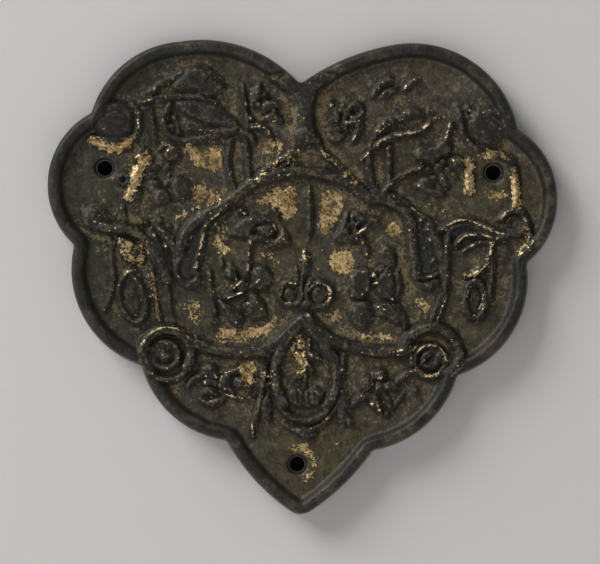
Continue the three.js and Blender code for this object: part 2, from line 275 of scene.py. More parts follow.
band = rounded_line(2.1, 0.95, crest=3)
leaf_edge = rounded_line(1.25, 0.78)
fine_edge = rounded_line(0.9, 0.75)
stem = rounded_line(1.15, 0.65)
tendril = rounded_line(0.8, 0.62)
faint_line = rounded_line(0.75, 0.5)
column = rounded_shape(1.2, 1.3)
petal = rounded_shape(0.82, 1.05)
low_leaf = rounded_shape(0.38, 1.0)
blade_height = 0.68
bead_height = 0.75
gilt = gilt_patch(0.95)
thin_gilt = gilt_patch(0.58)
bright_edge = rubbed_highlight_line(0.9, 0.56)
dull_edge = rubbed_highlight_line(0.66, 0.48)
bright_spot = rubbed_highlight_line(0.9, 0.8)


def bright_spots(*spots):
    """Lays small round bright spots: rubbed metal with painted highlight."""
    for x, z in spots:
        bright_spot((x, z), (x + 0.05, z))


column((-5.6, 39.4), (-2.0, 35.6), (-0.7, 33), (-0.4, 31), (-0.4, 29), (-1.2, 26.9), (1.2, 26.0),
       (4.2, 26.2), (2.8, 29), (2.6, 31), (2.8, 34), (3.8, 36.6), (7, 39.6))
band((-14, 14.6), (-10.6, 17.4), (-7.5, 19.1), (-2, 20.4), (3, 20.3), (8, 18.9), (11, 17.2),
     (14.5, 14.9))
stem((1.2, 26.6), (-1.6, 24.2), (-5, 22), (-8, 19.8), (-12.6, 15.8))
faint_line((-0.6, 23.4), (-4.6, 20.9), (-8.6, 18.6))
stem((3.2, 26.6), (4.6, 24.2), (7.4, 21.8), (9.2, 20), (11, 18.2), (13.4, 15.7))
band((-20.4, -12.9), (-18, -13.9), (-14, -14.6), (-10, -14.7), (-7, -14.1), (-4, -12.3), (-1.4, -9.8),
     (0.6, -8.0))
band((21, -14.3), (18, -14.7), (14, -14.5), (8.5, -13.3), (5, -11.5), (1.4, -8.0))
for rise in (-0.25, 0.45):
    groove((-19.5, -13.3 + rise), (-14, -14.6 + rise), (-10, -14.7 + rise), (-6.6, -13.8 + rise))
    groove((20, -14.5 + rise), (14, -14.5 + rise), (9.6, -13.6 + rise))
band((0.7, -8.2), (-1.5, -10.6), (-3.3, -13), (-4.5, -16), (-4.9, -19), (-4.5, -22), (-3, -24.6))
band((0.7, -8.2), (2.2, -10.2), (4.2, -12.4), (5.9, -14.6), (7, -17.2), (7.1, -20), (6.5, -23),
     (5, -25.4))
leaf_edge((-4.6, -23.6), (-3.4, -26), (-1, -27.6), (1.6, -28), (4.4, -27), (6.4, -24.4))
tendril((-3.2, -28.8), (-0.8, -29.6), (2, -29.7), (4.2, -28.8), (5.6, -27.4), (7.2, -25.2))
petal((-2.4, -22.4), (-1, -21.4), (1, -22), (3, -21.4), (4.6, -22.4), (4.2, -24.6), (1.2, -25.6),
      (-1.8, -24.8))
for x in (-1.4, -0.3, 0.8, 1.9, 3.0, 4.0):
    groove((x, -22.2), (x + 0.15, -25))
faint_line((1.6, -10.4), (1.8, -12.6), (1.8, -14.8), (1.2, -18), (0.9, -21.6))
beads(0.75, (0, -12.7), (-0.5, -15), (0.9, -15.6), (2.3, -15.4))
blade(1.0, (0.9, -18.6), (-0.2, -19.2), (-1.6, -20.4))
blade(1.0, (1.4, -16.2), (2.2, -18), (2.5, -19.4))
blade(1.1, (2.0, -14.9), (3.4, -15.4), (3.9, -16.7))
petal((-1.7, -29.6), (-0.4, -31), (1.0, -31.9), (2.6, -31.2), (3.4, -30), (1.2, -29.2))
stem((-5.6, -14.2), (-6.6, -15.8), (-6.9, -19), (-7.4, -22), (-8.0, -25), (-8.9, -28.6))
stem((8.6, -15.2), (8.3, -17.6), (8.0, -21), (8.6, -24), (9.6, -28.6))
blade(2.4, (-6.3, -23), (-6.6, -25.6), (-6.2, -28.6))
blade(2.6, (7.6, -23.2), (8.3, -26), (8.4, -29))
faint_line((-9.2, -28.6), (-9.2, -31.4))
thin_gilt((3.8, 24.6), (5.4, 24.2), (9.6, 20.2), (11.4, 17.9), (10, 18.2), (7, 21.6))
thin_gilt((-1.4, 24.6), (1.4, 26.6), (-1.4, 22.6), (-5.6, 20.6), (-9.6, 18.4), (-6, 21.6))
thin_gilt((-2.8, -34.6), (-1, -32.9), (1.4, -32.4), (2.8, -35), (3.2, -37.4), (1, -40), (-0.6, -39),
          (1.8, -38), (2, -35.4), (0.2, -34.2), (-1.8, -34.6))
thin_gilt((-1.6, -12), (0.4, -11.6), (0.6, -13.8), (-1.4, -14))
thin_gilt((-1.2, -14.8), (1.2, -14.4), (1.6, -18.6), (0, -19.4), (-0.8, -17.2))
bright_edge((-6.8, -15.5), (-5.8, -14.3))
bright_edge((-6.7, -19.2), (-6.9, -18.6))
bright_edge((17.5, -14.8), (20, -14.2))
dull_edge((0.6, 26), (-1.5, 24), (-5, 21.9), (-8, 19.6), (-9.5, 18.4))
dull_edge((1.8, -10.8), (1.8, -14.2))
dull_edge((5.2, -27.5), (3.8, -28.7), (2, -29.5))
dull_edge((8.3, -17.5), (7.9, -22))
dull_edge((-9.4, -28.8), (-9.1, -31.2))
dull_edge((17.7, -15.5), (19.5, -15.1))
dull_edge((10, -14.3), (13, -14.3))
dull_edge((-24, -10), (-22.5, -10.9), (-21.4, -12.4))
dull_edge((5.3, -34.3), (7.5, -32.3))
bright_spots((1.6, -7.4), (0, -12.7), (-0.3, -14.9), (2.3, -15.3), (0.8, -18.2), (3.4, -15.7),
             (5.2, -27.4), (-6.3, -19.4))

# The two hanging leaves: each grows from a foot of the arch, split in two by a vein and curled
# at its tip, with a slim blade and a row of beads beside it. Gilding stays at the roots.
band((-13, 15.4), (-15.5, 13.7), (-18.4, 12.2), (-20.7, 10.6), (-22.4, 8.2), (-23.4, 5))
stem((-20.3, 10), (-22, 7.2), (-23.6, 3.8), (-24, 0.8), (-22.6, -1.2), (-20.6, -1), (-19.8, 0.6))
leaf_edge((-14.6, 13.4), (-17.2, 11.6), (-18.7, 9.4), (-19.1, 7), (-19.8, 4), (-20.5, 1))
tendril((-13.8, 12.6), (-16.4, 10.6), (-17.6, 8.8))
low_leaf((-18.6, 10.6), (-20.6, 8.6), (-22.8, 4), (-23.4, 0.4), (-21.4, -0.6), (-20.2, 2))
petal((-23.6, -1), (-22, -2.3), (-19.9, -1.9), (-19.4, -0.2), (-20.6, -0.8), (-22.2, -1))
blade(2.6, (-29.2, 9.8), (-28.4, 6.6), (-26.6, 3.2), (-24.8, 1.4))
blade(2.0, (-27.4, 9.2), (-25.6, 7.4), (-24.2, 5.4), (-22.8, 3))
beads(0.6, (-31, 10.8), (-30, 10.6), (-28.4, 8.2), (-26.2, 6), (-27.4, 11), (-25.6, 9.8))
band((13.5, 15.6), (17, 14.8), (20, 13.2), (21.5, 11), (22, 7), (22.3, 3), (22.7, 0.4))
stem((16.4, 16.2), (18.2, 15.7), (20.2, 14.6), (21.6, 13.2), (23, 12.4), (24.8, 10.6), (26, 8.6))
blade(2.2, (22.4, 13), (24.8, 10.8), (26.6, 7.4), (27.7, 4.4), (28.2, 1.4), (28.4, -1.6))
tendril((22.9, 0.9), (23.8, -0.2), (25.3, 0), (26.7, 0.5))
petal((22.2, -0.4), (24, -1), (26.6, -0.3), (27.4, -1), (25.4, -2.6), (23.4, -2.2))
low_leaf((22.6, 10.6), (24.6, 9.4), (26.4, 4.4), (26.6, 1.4), (24, 0.8), (23, 3))
beads(0.55, (23.5, 11), (24.8, 9.2), (25.3, 7.3), (26, 3.3), (24.4, 5.4))
gilt((-20.6, 17.9), (-17, 17.1), (-15.5, 15.1), (-18, 14.3), (-20.4, 14.6))
thin_gilt((-25.4, 11.2), (-22.2, 13.4), (-19.8, 14.4), (-19.6, 13.6), (-22.4, 12))
thin_gilt((-22.6, -4.5), (-20, -3.9), (-19.6, -6), (-20.4, -9.2), (-21.5, -8.2), (-22.8, -6))
thin_gilt((22.9, -3.9), (25.3, -4.4), (25.3, -7.1), (23.1, -6.2))
bright_edge((-15.5, 12.7), (-18.2, 10.4))
bright_edge((-18.9, 8.6), (-19.1, 7), (-19.8, 4))
bright_edge((-19.8, 4), (-20.4, 1.3))
dull_edge((-20.2, 9.4), (-21.4, 7.6))
dull_edge((23, 1), (23.8, -0.1), (25.2, 0), (26.5, 0.5))
dull_edge((21, 13.8), (23, 12.6), (24.7, 10.8), (26, 8.8))
bright_spots((-23.8, 0), (-28.5, 8.2), (-26.2, 6), (-31, 10.8), (23.5, 11), (24.8, 9.2), (25.3, 7.3),
             (26, 3.3))

# The side stems: from a dome or curl at each side notch a stem runs inwards and down, with a bud
# on a thin stalk. The one on the right is split, and its edges are bright: rubbed metal with painted
# highlight.
dome = rounded_shape(0.85, 2.2)


def ring_points(x, z, radius, start, turn, end_radius=None, tall=1.0, step=30):
    """Points round a centre, from the start angle and through a turn, clockwise when positive."""
    last = radius if end_radius is None else end_radius
    count = max(3, int(abs(turn) / step) + 1)
    points = []
    for k in range(count):
        angle = math.radians(start - turn * k / (count - 1))
        reach = radius + (last - radius) * k / (count - 1)
        points.append((x + reach * math.cos(angle), z + tall * reach * math.sin(angle)))
    return points


band((-38.4, 9.6), (-35.4, 9.5), (-32.4, 8.8), (-30, 7), (-28.2, 4.6), (-26.9, 2.4), (-26, -0.4))
faint_line((-28.8, 1.4), (-28.6, -2), (-28, -5), (-27.2, -8.4))
faint_line((-26, -0.6), (-25.6, -3), (-25.3, -6), (-24.7, -8.8))
faint_line((-34.6, 13.8), (-34.2, 11))
dome((-42.4, 12), (-41, 14), (-38.8, 14), (-37.2, 12.2), (-37.6, 9.8), (-39.6, 8.9), (-41.8, 9.8))
groove(*ring_points(-39.7, 11.4, 1.3, 60, 300))
faint_line((-36.7, 7.4), (-36.6, 2.6), (-36.4, -1), (-37, -4), (-38.3, -6.8))
petal((-35.6, 7.8), (-32.6, 7), (-30.6, 5), (-30.0, 3), (-31.8, 2.6), (-33.8, 3.8), (-35.4, 5.6))
faint_line((-35.6, 5), (-34.4, 2.6), (-32.4, 1.8))
fine_edge((-34.2, 0.6), (-35.2, -2), (-35, -5), (-33.8, -7.6), (-32.2, -8.9))
leaf_edge((-33.4, 1.2), (-31.8, -0.6), (-30.6, -3), (-30.1, -6), (-30.8, -8.4), (-32.2, -8.9))
low_leaf((-33.4, 0.4), (-32, -1.6), (-31.2, -5), (-32.2, -7.6), (-33.8, -6.4), (-34.4, -2.6))
tendril((-34.6, 0.2), (-33.4, 1.4), (-32.2, 1.2), (-31.2, 0.2))
leaf_edge((27.4, 9.2), (29, 10.3), (30.8, 11.1), (33, 11.2), (35.6, 10.1), (38, 8.9), (40.6, 8.3))
fine_edge((28.4, 9.3), (31.4, 10.1), (34, 9.8), (37.4, 8.2))
leaf_edge((30.4, 6.2), (30.9, 7.2), (32.4, 8.2), (35.4, 8.3), (38.4, 7.5), (40.4, 7.9))
faint_line((31.4, 4.8), (33.2, 6), (35.4, 6.8), (38, 6.6))
low_leaf((28.6, 8.8), (31.2, 9.8), (34, 9.6), (37, 8.2), (34.6, 8.6), (32.2, 8.4), (30.6, 7.6))
leaf_edge((29.2, 9.2), (28.7, 5.4), (28.6, 1), (28.3, -2.2))
tendril((28.6, -2), (28.2, -4.6), (26.9, -8.6))
faint_line((27.6, -3.4), (26.8, -6), (25.8, -8.4))
leaf_edge((42, 21), (42.1, 17.6), (42, 14), (40.8, 12.9), (39.4, 11.6))
leaf_edge(*ring_points(41.8, 10.3, 3.0, 160, 260, 2.0))
faint_line(*ring_points(41.8, 10.3, 1.4, 200, 330))
leaf_edge((43.4, 12.6), (44.4, 10.6), (44.9, 7.6), (44.2, 5.4), (42, 3.8))
leaf_edge((37.5, 6.2), (37.1, 4.4), (36.2, 2.6), (34.8, 1), (32.4, 0.2))
leaf_edge((37.6, 4), (37.4, 0), (37.1, -4))
leaf_edge(*ring_points(34.2, -4.4, 2.0, 90, 360, tall=1.85))
faint_line((34.6, -0.8), (33.4, -2), (31.8, -5), (32, -7))
low_leaf((34, -1.4), (35.4, -3.6), (35, -6.6), (33.8, -7.4), (33, -5))
faint_line((36.7, -4.6), (35.8, -7), (34.4, -9))
gilt((36.2, 16.6), (38, 16.8), (40.2, 16.4), (39.6, 15.4), (37, 15.4))
gilt((41.4, 20.8), (42.6, 20.6), (42.6, 14), (41.6, 13.6))
thin_gilt((-36.4, 7.6), (-32, 7.2), (-29.8, 4), (-31, 2.4), (-34, 3.4))
thin_gilt((-29.6, 1), (-28.2, 1), (-27.6, -4), (-26.8, -8.6), (-28, -8.4), (-29, -4))
thin_gilt((31.6, 0.8), (34.6, 1.6), (36, 3), (37, 6.4), (37.8, 6), (36.6, 2), (34, -0.2), (31.8, -0.4))
thin_gilt((43.2, 11.4), (44.4, 10.8), (45.2, 7), (44, 4.6), (41.4, 3.2), (43.4, 6), (43.8, 8.4))
bright_edge((-30.8, -13.5), (-30, -11.8), (-28, -10.3), (-26, -9.8), (-24, -10))
bright_edge((27.5, 9.2), (29, 10.2), (30.6, 11), (32.6, 11.2), (35, 10.2), (37.5, 9), (40, 8.4))
bright_edge((30.3, 7.8), (30.7, 6.6), (32, 8), (35.5, 8.2), (38.5, 7.5))
bright_edge((39.3, 11.2), (39.8, 12.3), (41, 13.1), (43, 13.4))
bright_edge((37.3, 6.2), (37, 4.5), (36.4, 3), (35.4, 1.5), (34.3, 0.9))
bright_edge((34.3, 0.8), (32.3, 0.3))
bright_edge((36, -3), (35.1, -6), (33.6, -7.8))
bright_edge((-34.2, 0.4), (-33.4, 1.3), (-32, 1.1))
dull_edge((31.6, 5), (33.3, 6), (35, 6.9))
dull_edge((41.7, 17), (41.9, 14))
dull_edge((43.9, 10.5), (44.4, 8.4), (45, 6.7), (44, 5.2), (41.7, 4))
dull_edge((33.3, -1.8), (32.1, -5), (32.2, -6.5))
dull_edge((28.4, -4), (26.8, -8.3))
dull_edge((-34.2, -6.8), (-33, -7.2), (-32, -7.5))
dull_edge((-32.2, 7.2), (-29.8, 5.2), (-27.2, 0.4))
dull_edge((-34.5, 12.8), (-34.4, 11.6))
bright_spots((-40, 10.8), (-39, 10.5))

# The scrolls: two spirals where the bands meet the lower notches, and two larger domed ones with
# a turned-down leaf under the upper notches. Gilding stays below the domed ones.
band(*ring_points(-26, -15, 4.9, 205, 240, 4.7))
leaf_edge(*ring_points(-26.2, -15.2, 2.6, 120, 340))
leaf_edge((-21.6, -17.6), (-23.6, -19.6), (-26.2, -20.1), (-29, -18.9), (-30.6, -16.8))
beads(1.3, (-26.2, -15.3))
band((20.4, -13.4), (21.6, -11.4), (24, -10.1), (26.6, -9.8), (29, -11), (30.6, -13), (31.2, -15.8),
     (30, -18.4))
fine_edge(*ring_points(25.4, -16.2, 3.0, 150, 350))
leaf_edge(*ring_points(25.4, -16.2, 1.4, 150, 350))
tendril((22.6, -13), (21.7, -15), (21.8, -17.2))
stem((19.2, -20.3), (21.7, -18.5), (24.4, -19.5), (26.2, -19.4), (28.4, -18.2))
dome((-40.2, 30), (-38.4, 33.2), (-35.4, 34.4), (-32.8, 32.6), (-32.6, 29), (-34.4, 27), (-38, 27.2))
groove(*ring_points(-35.8, 30.6, 2.0, 120, 250))
leaf_edge((-32.6, 33.6), (-31.5, 32), (-31.5, 29), (-32, 27.6), (-33.4, 26.9), (-36.4, 26.4),
          (-40.2, 27.2))
blade(1.4, (-40.6, 26.2), (-37.6, 25.4), (-34.6, 25.2), (-32.6, 26.4))
low_leaf((-31, 33.4), (-29.2, 33.2), (-28.8, 29), (-28.9, 26), (-31, 26), (-30.8, 29))
tendril((-29, 32), (-28.5, 29), (-28.3, 26))
dome((32.8, 30.4), (35, 33), (38.4, 32.6), (40.4, 29.6), (39.4, 26.4), (36.2, 25.4), (33.6, 27.2))
groove(*ring_points(36.6, 29, 2.0, 120, 250))
leaf_edge((31.1, 32.4), (31.7, 28.4), (33.2, 26), (35.2, 24.6), (38, 24.2), (41.6, 22.8))
fine_edge((29.7, 30.2), (29, 28.4), (28.4, 26.4))
faint_line(*ring_points(33, 32.2, 0.8, 90, 330, tall=1.4))
low_leaf((25, 33.4), (26.2, 31.6), (28.2, 31.8), (28.4, 30.6), (26.4, 30.2), (24.6, 31.6))
gilt((-40.8, 27.2), (-36, 26.4), (-32.4, 27.4), (-31.8, 26.8), (-33.4, 25.3), (-35.5, 24.3),
     (-38, 24.8), (-40.2, 25.8))
gilt((35, 23.4), (36.6, 24.6), (39, 24.6), (41.2, 23), (39.4, 23.2), (37, 23.2))
bright_edge((-31.5, 32), (-31.5, 29), (-32, 27.7), (-33, 27.1))
bright_edge((29.3, 29.9), (28.8, 28.3), (28.3, 26.6))
bright_edge((25.5, 32.5), (26.5, 31), (28, 31.2))
dull_edge((-28.5, -14.4), (-27, -12.9), (-25, -13))
dull_edge(*ring_points(25.4, -16.2, 3.0, 150, 260))
dull_edge((24.5, -19.4), (26, -19.3), (28, -18.3))
dull_edge((22.5, -13.3), (21.8, -15), (21.7, -16.8))
dull_edge((19.4, -20.1), (21.7, -18.4))
bright_spots((33, 32.4))

# The upper lobes: on each side a long leaf lies across the lobe with its tip towards the column,
# and above and beside it stand a domed leaf and a small flower with slim petals.
fine_edge((-30.9, 34.0), (-28, 34.8), (-25, 35.1), (-20, 35.1), (-16.2, 33.9))
petal((-24.6, 34), (-21, 34.6), (-16.4, 33.6), (-13, 31), (-11.4, 28.8), (-13.4, 28.9), (-17, 29.6),
      (-20.6, 30.8), (-22.8, 32))
leaf_edge((-25.4, 33.6), (-26.5, 31.4), (-26.3, 29), (-24.8, 27.2), (-21.8, 26.6), (-17, 27.6),
          (-12.6, 28.8))
fine_edge((-21.8, 28.9), (-19, 28.5), (-16, 28.6), (-13, 28.9))
beads(0.6, (-25.2, 29.4), (-23.6, 28.2), (-24.4, 31))
stem((-29.2, 36), (-28.3, 36.9), (-27, 37.9), (-25, 38.7), (-23, 40))
dome((-25, 36.8), (-23.6, 39.4), (-21.2, 41.2), (-18, 40.9), (-15.2, 38.8), (-14.6, 36.8), (-16, 35.8),
     (-20, 36.2))
groove(*ring_points(-17, 38, 1.1, 90, 330))
tendril((-19.6, 36), (-18, 35.8), (-16.4, 36))
tendril((-11.2, 37.4), (-10.8, 34.4), (-10.5, 32), (-10.2, 29.6))
blade(2.2, (-9.2, 33), (-8.9, 35), (-7.8, 37.6))
blade(2.0, (-7.6, 32), (-6, 33.6), (-3.4, 33.6))
blade(1.6, (-7.2, 30.8), (-5, 31.4), (-3.4, 30))
stem((-10.2, 29.4), (-8.6, 29.6), (-6.8, 29), (-5.7, 27.4))
beads(0.6, (-9.6, 31), (-8, 33.6), (-6.8, 35.4), (-5, 32.4))
stem((-13.5, 26.6), (-14, 24), (-13.9, 21), (-12.8, 17.2))
stem((-11.4, 28.6), (-10.5, 26), (-10.1, 22), (-9.7, 18.8))
blade(1.4, (-11.6, 28.6), (-9.8, 27.6), (-8.6, 25.8))
leaf_edge((14.6, 25.2), (15.5, 26.4), (17, 27.1), (19.4, 27.8), (22, 28.2), (23.8, 28.8), (25.2, 30))
petal((14, 26.4), (14.6, 28.8), (16.2, 30.9), (19.4, 31.9), (21.9, 33), (24.6, 32.2), (22.6, 31.2),
      (20.2, 30.4), (17.4, 29.2), (15.6, 27.4))
for k in range(7):
    groove((15.2 + k * 1.2, 27.8 + k * 0.6), (15.0 + k * 1.15, 30 + k * 0.45))
tendril((12.2, 23), (13.3, 24.2), (14.4, 25.4))
stem((17.4, 25.2), (17.4, 22), (17.5, 18.8))
stem((13.8, 25.8), (13.4, 22.6), (13.8, 19), (15.2, 16.4))
stem((15.8, 15.8), (16.6, 16.8), (17.8, 18.2), (19.4, 19.6), (22, 20.8), (23.9, 21.5))
petal((13.4, 34.8), (14.2, 36.8), (15.8, 38.6), (17.8, 39.4), (18.2, 38.4), (16.2, 37), (15.2, 35.4))
blade(1.6, (15.4, 35), (17, 36), (19, 36.6))
blade(1.2, (19.8, 36.2), (21.4, 37.6), (23.4, 39))
fine_edge(*ring_points(10.8, 32.4, 1.3, 90, 340))
leaf_edge((8.6, 29.9), (10.2, 30.3), (11.8, 30.6), (11.2, 29.6))
blade(1.8, (5.6, 27.6), (7, 26.9), (8.8, 27.9))
blade(1.8, (6.2, 33.6), (7, 31.8), (7.2, 29.6))
blade(1.2, (8.4, 33.4), (9, 31.8), (8.4, 30.2))
blade(1.4, (10.2, 26.2), (10.9, 28), (12.2, 29.4))
beads(0.6, (6.1, 33.5), (8, 32.6), (9, 29), (6.4, 30.6), (7.6, 28.8))
gilt((-22.2, 26), (-20, 24.6), (-17.6, 25.1), (-16.4, 26.2), (-15.6, 24), (-15.9, 20.8), (-19, 21.4),
     (-21.4, 23.4))
thin_gilt((-11, 19.6), (-9.4, 19.8), (-8, 18.6), (-9.6, 17.6))
thin_gilt((-8, 26.4), (-4, 27), (-3, 24.6), (-6, 23.4), (-8.6, 24.4))
bright_edge((-31, 34.0), (-29, 34.6))
bright_edge((-9.9, 29.2), (-7.5, 29.4), (-6.3, 28.5), (-5.8, 27.6))
bright_edge((14.8, 25.5), (15.5, 26.4), (17, 27.1), (18.5, 27.6), (22, 28.2), (23.8, 28.8), (25, 29.8))
bright_edge((9, 30.1), (11.8, 30.4))
dull_edge((-29, 34.6), (-25, 35.2))
dull_edge((-19.4, 34.9), (-16.4, 33.9))
dull_edge((-21.8, 29), (-19, 28.6), (-16.6, 28.6))
dull_edge((-28.9, 36.4), (-28.2, 36.9))
dull_edge((-27.4, 37.8), (-26.8, 38))
dull_edge((-13.6, 26.2), (-13.4, 25.4))
dull_edge((-6.8, 30.2), (-3.5, 30.5))
dull_edge((-11, 36.4), (-10.6, 34), (-10.3, 31.7))
dull_edge((12.5, 23.2), (13.2, 24))
dull_edge((15, 28), (17.6, 29.8), (20.3, 30.8))
dull_edge((16.5, 16.6), (17.5, 17.9), (19, 19.2))
dull_edge((10.2, 33.4), (10, 32), (10.6, 31.2))
dull_edge((10, 26.2), (11.6, 28.8))
dull_edge((21, 41.6), (23.5, 41.4))
bright_spots((24.4, 29.3), (20.7, 37.2), (6.1, 33.5))

# The flowers: by each upper nail hole one with round petals and a ring of beads, a palmette at
# the arch's foot, and sprigs of broad smooth petals in the middle field and in the lower lobes.
ray = rounded_line(0.85, 0.9)


def round_petal(x, z, radius):
    petal(*ring_points(x, z, radius, 0, 300, step=60))


round_petal(-23.2, 17.1, 2.2)
round_petal(-25.0, 24.0, 1.8)
round_petal(-27.0, 15.6, 1.8)
round_petal(-30.6, 23.2, 1.4)
round_petal(-31.8, 19.6, 1.4)
round_petal(-32.2, 16.4, 1.3)
beads(0.62, *ring_points(-32.4, 19.4, 1.0, 0, 270, step=90), *ring_points(-32.8, 16.6, 0.8, 0, 240, step=120))
fine_edge(*ring_points(-30.6, 23.2, 1.2, 0, 360))
petal((-25.4, 17.6), (-24.6, 19.4), (-22.6, 19.3), (-21.2, 17.4), (-22.2, 15.6), (-24.6, 15.5))
petal((-31.8, 23.4), (-30.8, 24.8), (-29.4, 24), (-29.6, 22), (-31, 21.6))
leaf_edge((-31.4, 21.2), (-32.4, 19), (-33.3, 17), (-33.6, 15.2))
fine_edge(*ring_points(-34.4, 19, 0.9, 90, 330))
fine_edge((-27.4, 24.8), (-26.4, 25.9), (-25.2, 25.8), (-24.6, 24.6))
beads(0.6, *ring_points(-26.8, 19.9, 1.9, 0, 300, step=60))
round_petal(23.8, 24.2, 1.7)
round_petal(28.0, 25.2, 1.7)
round_petal(24.5, 18.0, 1.7)
round_petal(27.3, 16.9, 1.5)
round_petal(30.6, 22.3, 1.5)
beads(0.62, *ring_points(27.0, 20.9, 1.9, 0, 300, step=60))
petal((22.8, 23.4), (24.4, 25.2), (26.4, 25.6), (28, 24.2), (26.8, 22.8), (24.4, 22.6))
beads(0.75, (29.8, 22.8), (29.5, 20.5), (28.2, 18), (23, 17.8), (25.5, 16.9), (24, 16.3), (27, 21.6))
blade(2.3, (33.2, 23), (33, 20.6), (32.9, 18.4), (33.2, 16.2))
for z in (21.6, 20.2, 18.8, 17.6):
    groove((31.8, z), (34.4, z + 0.2))
blade(1.5, (1.7, 17.6), (1.9, 14), (1.9, 10), (1.6, 7.2))
petal((-13.2, 9.0), (-12.2, 10.8), (-10.4, 11.9), (-8, 12), (-5.6, 11.2), (-4.9, 10.6), (-8, 10.4),
      (-9.4, 9.0), (-9, 8.1), (-11.6, 8.4))
petal((-7.0, 5.7), (-5.4, 7), (-4.2, 8.2), (-3.4, 9.6), (-2.2, 8.2), (-1.8, 6.4), (-3.6, 6.2))
stem((-13.4, 8.5), (-10, 8.1), (-5.4, 7.0))
petal((-8.8, 9.8), (-7, 10.3), (-5, 10.2), (-4.6, 8.8), (-6, 7.8), (-8, 8.2))
fine_edge((-12, 12.6), (-11.2, 13.3), (-10.7, 12.2))
blade(1.2, (-5.2, 13.6), (-4.7, 12.2), (-4.4, 10.6))
petal((6.2, 7.2), (7.2, 8.8), (8.2, 10.6), (8.8, 12.6), (9.8, 12.4), (9.4, 10.2), (10.2, 8.4),
      (12.2, 7.2), (9.4, 6.5))
petal((10.8, 12.4), (12.6, 11.9), (14.8, 11.7), (16.4, 11), (14.6, 10.2), (12.8, 10.6), (11, 11.2))
fine_edge((9.2, 10.2), (10.6, 9.9), (10.9, 8.3), (12, 9), (13.4, 10.1))
tendril(*ring_points(11, 11.3, 0.9, 90, 330))
stem((12, 7.6), (12.6, 6.4), (13.2, 4.4))
stem((-9.7, 7.2), (-10, 4), (-10.4, 0.2))
petal((-9.6, 0.8), (-8.6, 2), (-6.6, 2), (-5.4, 0.4), (-5.6, -1.4), (-6.8, -2.7), (-8.4, -2.5),
      (-9.4, -1))
petal((-9.4, -3.3), (-7.8, -3.9), (-6.4, -6.6), (-7, -8), (-9.6, -8.2), (-10.8, -6.6), (-10, -5))
petal((-16.2, -4.4), (-14.4, -5), (-12.2, -6.4), (-10.8, -7.4), (-11.6, -9.6), (-13.2, -9.2),
      (-15, -6.8))
petal((-14.8, 1.6), (-13.4, 2.2), (-12.2, 1.2), (-12.8, -0.4), (-14.4, -0.2))
ray((-12.8, 0.6), (-12.2, -0.7))
ray((-11.3, -0.8), (-13.1, -2.4))
ray((-7.9, -0.4), (-9.4, -2.1))
ray((-14.2, -4.1), (-11, -3))
ray((-11.5, -6), (-9.4, -4.9))
beads(1.3, (-11.4, -1.8))
stem((-17.6, 0.8), (-17.5, -2), (-17, -4.6), (-16.6, -7.4), (-17.1, -9.6))
blade(1.0, (-15.6, 3.8), (-15.0, 1.6))
petal((10, 0.8), (11.6, 1.8), (13.6, 1.6), (14.1, -0.6), (13.4, -3), (12.2, -4.5), (10.2, -4.4),
      (9.4, -2))
petal((10, -5.6), (11.4, -4.7), (13.4, -4.8), (14.1, -7.2), (12.6, -10.2), (10.6, -9.6), (9.6, -7.4))
petal((14.4, -5.4), (16.4, -5), (18.4, -5.1), (20.2, -7.8), (19.2, -9.4), (16.8, -8), (15, -7.6))
petal((15.2, 4.6), (16.6, 6.4), (18.2, 5.4), (18.8, 3), (17.2, 1.6), (15.8, 2.4))
petal((15.0, -0.4), (16.4, 1.4), (18, 1.2), (18.4, -1), (18.6, -3.4), (17, -4.4), (15.2, -3.4))
ray((13.8, 0), (16, 1.9), (17.2, 1.2))
ray((14.4, -1.4), (15.2, -1.2))
ray((15.8, -2.6), (16, -3.2))
ray((17.4, 0.8), (17.4, 0))
ray((17.8, -4), (18.3, -4.6))
ray((14.4, 0.6), (15.2, -0.8))
stem((18.9, 0.4), (19.4, -2), (18.6, -4.2))
stem((18.8, -5.6), (20, -7.6), (20.6, -9.8))
blade(1.8, (1.1, 5.2), (1.1, 3), (1, 0.4))
fine_edge(*ring_points(-1.8, -3.3, 2.3, 30, 330))
fine_edge(*ring_points(3.7, -3.5, 2.5, 150, -320))
tendril((0.3, -1.4), (0.5, 0.6))
tendril((1.3, -1.9), (2.1, -0.6))
tendril((-0.6, 1.6), (-0.4, -0.6))
beads(1.1, (1.0, -5.4))
beads(0.7, (1.6, -7.4))
low_leaf((-2.2, -1.9), (-0.6, -3.2), (-1.8, -4.8), (-3.2, -3.6))
low_leaf((3.7, -1.8), (5.2, -3.4), (3.6, -5), (2.2, -3.6))
petal((-19.6, -17.6), (-18, -16.8), (-16.2, -17.4), (-16, -19.4), (-17.8, -19.9), (-19.4, -19.3))
stem((-21.8, -21.2), (-20.8, -19.9), (-19.2, -19.3))
blade(1.8, (-19, -22.6), (-17.6, -22.2), (-16, -22.8))
blade(1.8, (-19.4, -23.8), (-17.6, -24.8), (-14.8, -23.6))
blade(1.4, (-19, -20.8), (-17.6, -20.4), (-16.2, -20.6))
stem(*ring_points(-12, -21, 2.9, 200, 260))
faint_line((-13.9, -19.6), (-14.1, -21.6), (-13, -22.4))
faint_line((-14.6, -22.7), (-12, -23.5), (-9.4, -23.5))
faint_line((-8.8, -20.6), (-6.4, -20.9), (-5.2, -20.2))
faint_line((-9, -18.6), (-7, -19.2), (-5, -19))
beads(1.2, (-11.8, -20.6))
petal((11.8, -20.2), (13.4, -19.4), (14.6, -20.4), (14, -22), (12.2, -22.4))
petal((14, -18.8), (15.4, -18), (17, -18.7), (16.4, -20), (15, -20.2))
blade(1.6, (16.4, -21), (17.8, -21.2), (19.2, -21.8))
blade(1.6, (13, -23), (11.6, -23.8), (10.4, -25))
blade(1.5, (14.6, -23), (15, -24.6), (15.8, -26.4))
blade(1.2, (16, -22.4), (17.2, -24), (18, -26.4))
faint_line((20.2, -22.8), (18.4, -25.2))
beads(1.1, (15.4, -21.6))
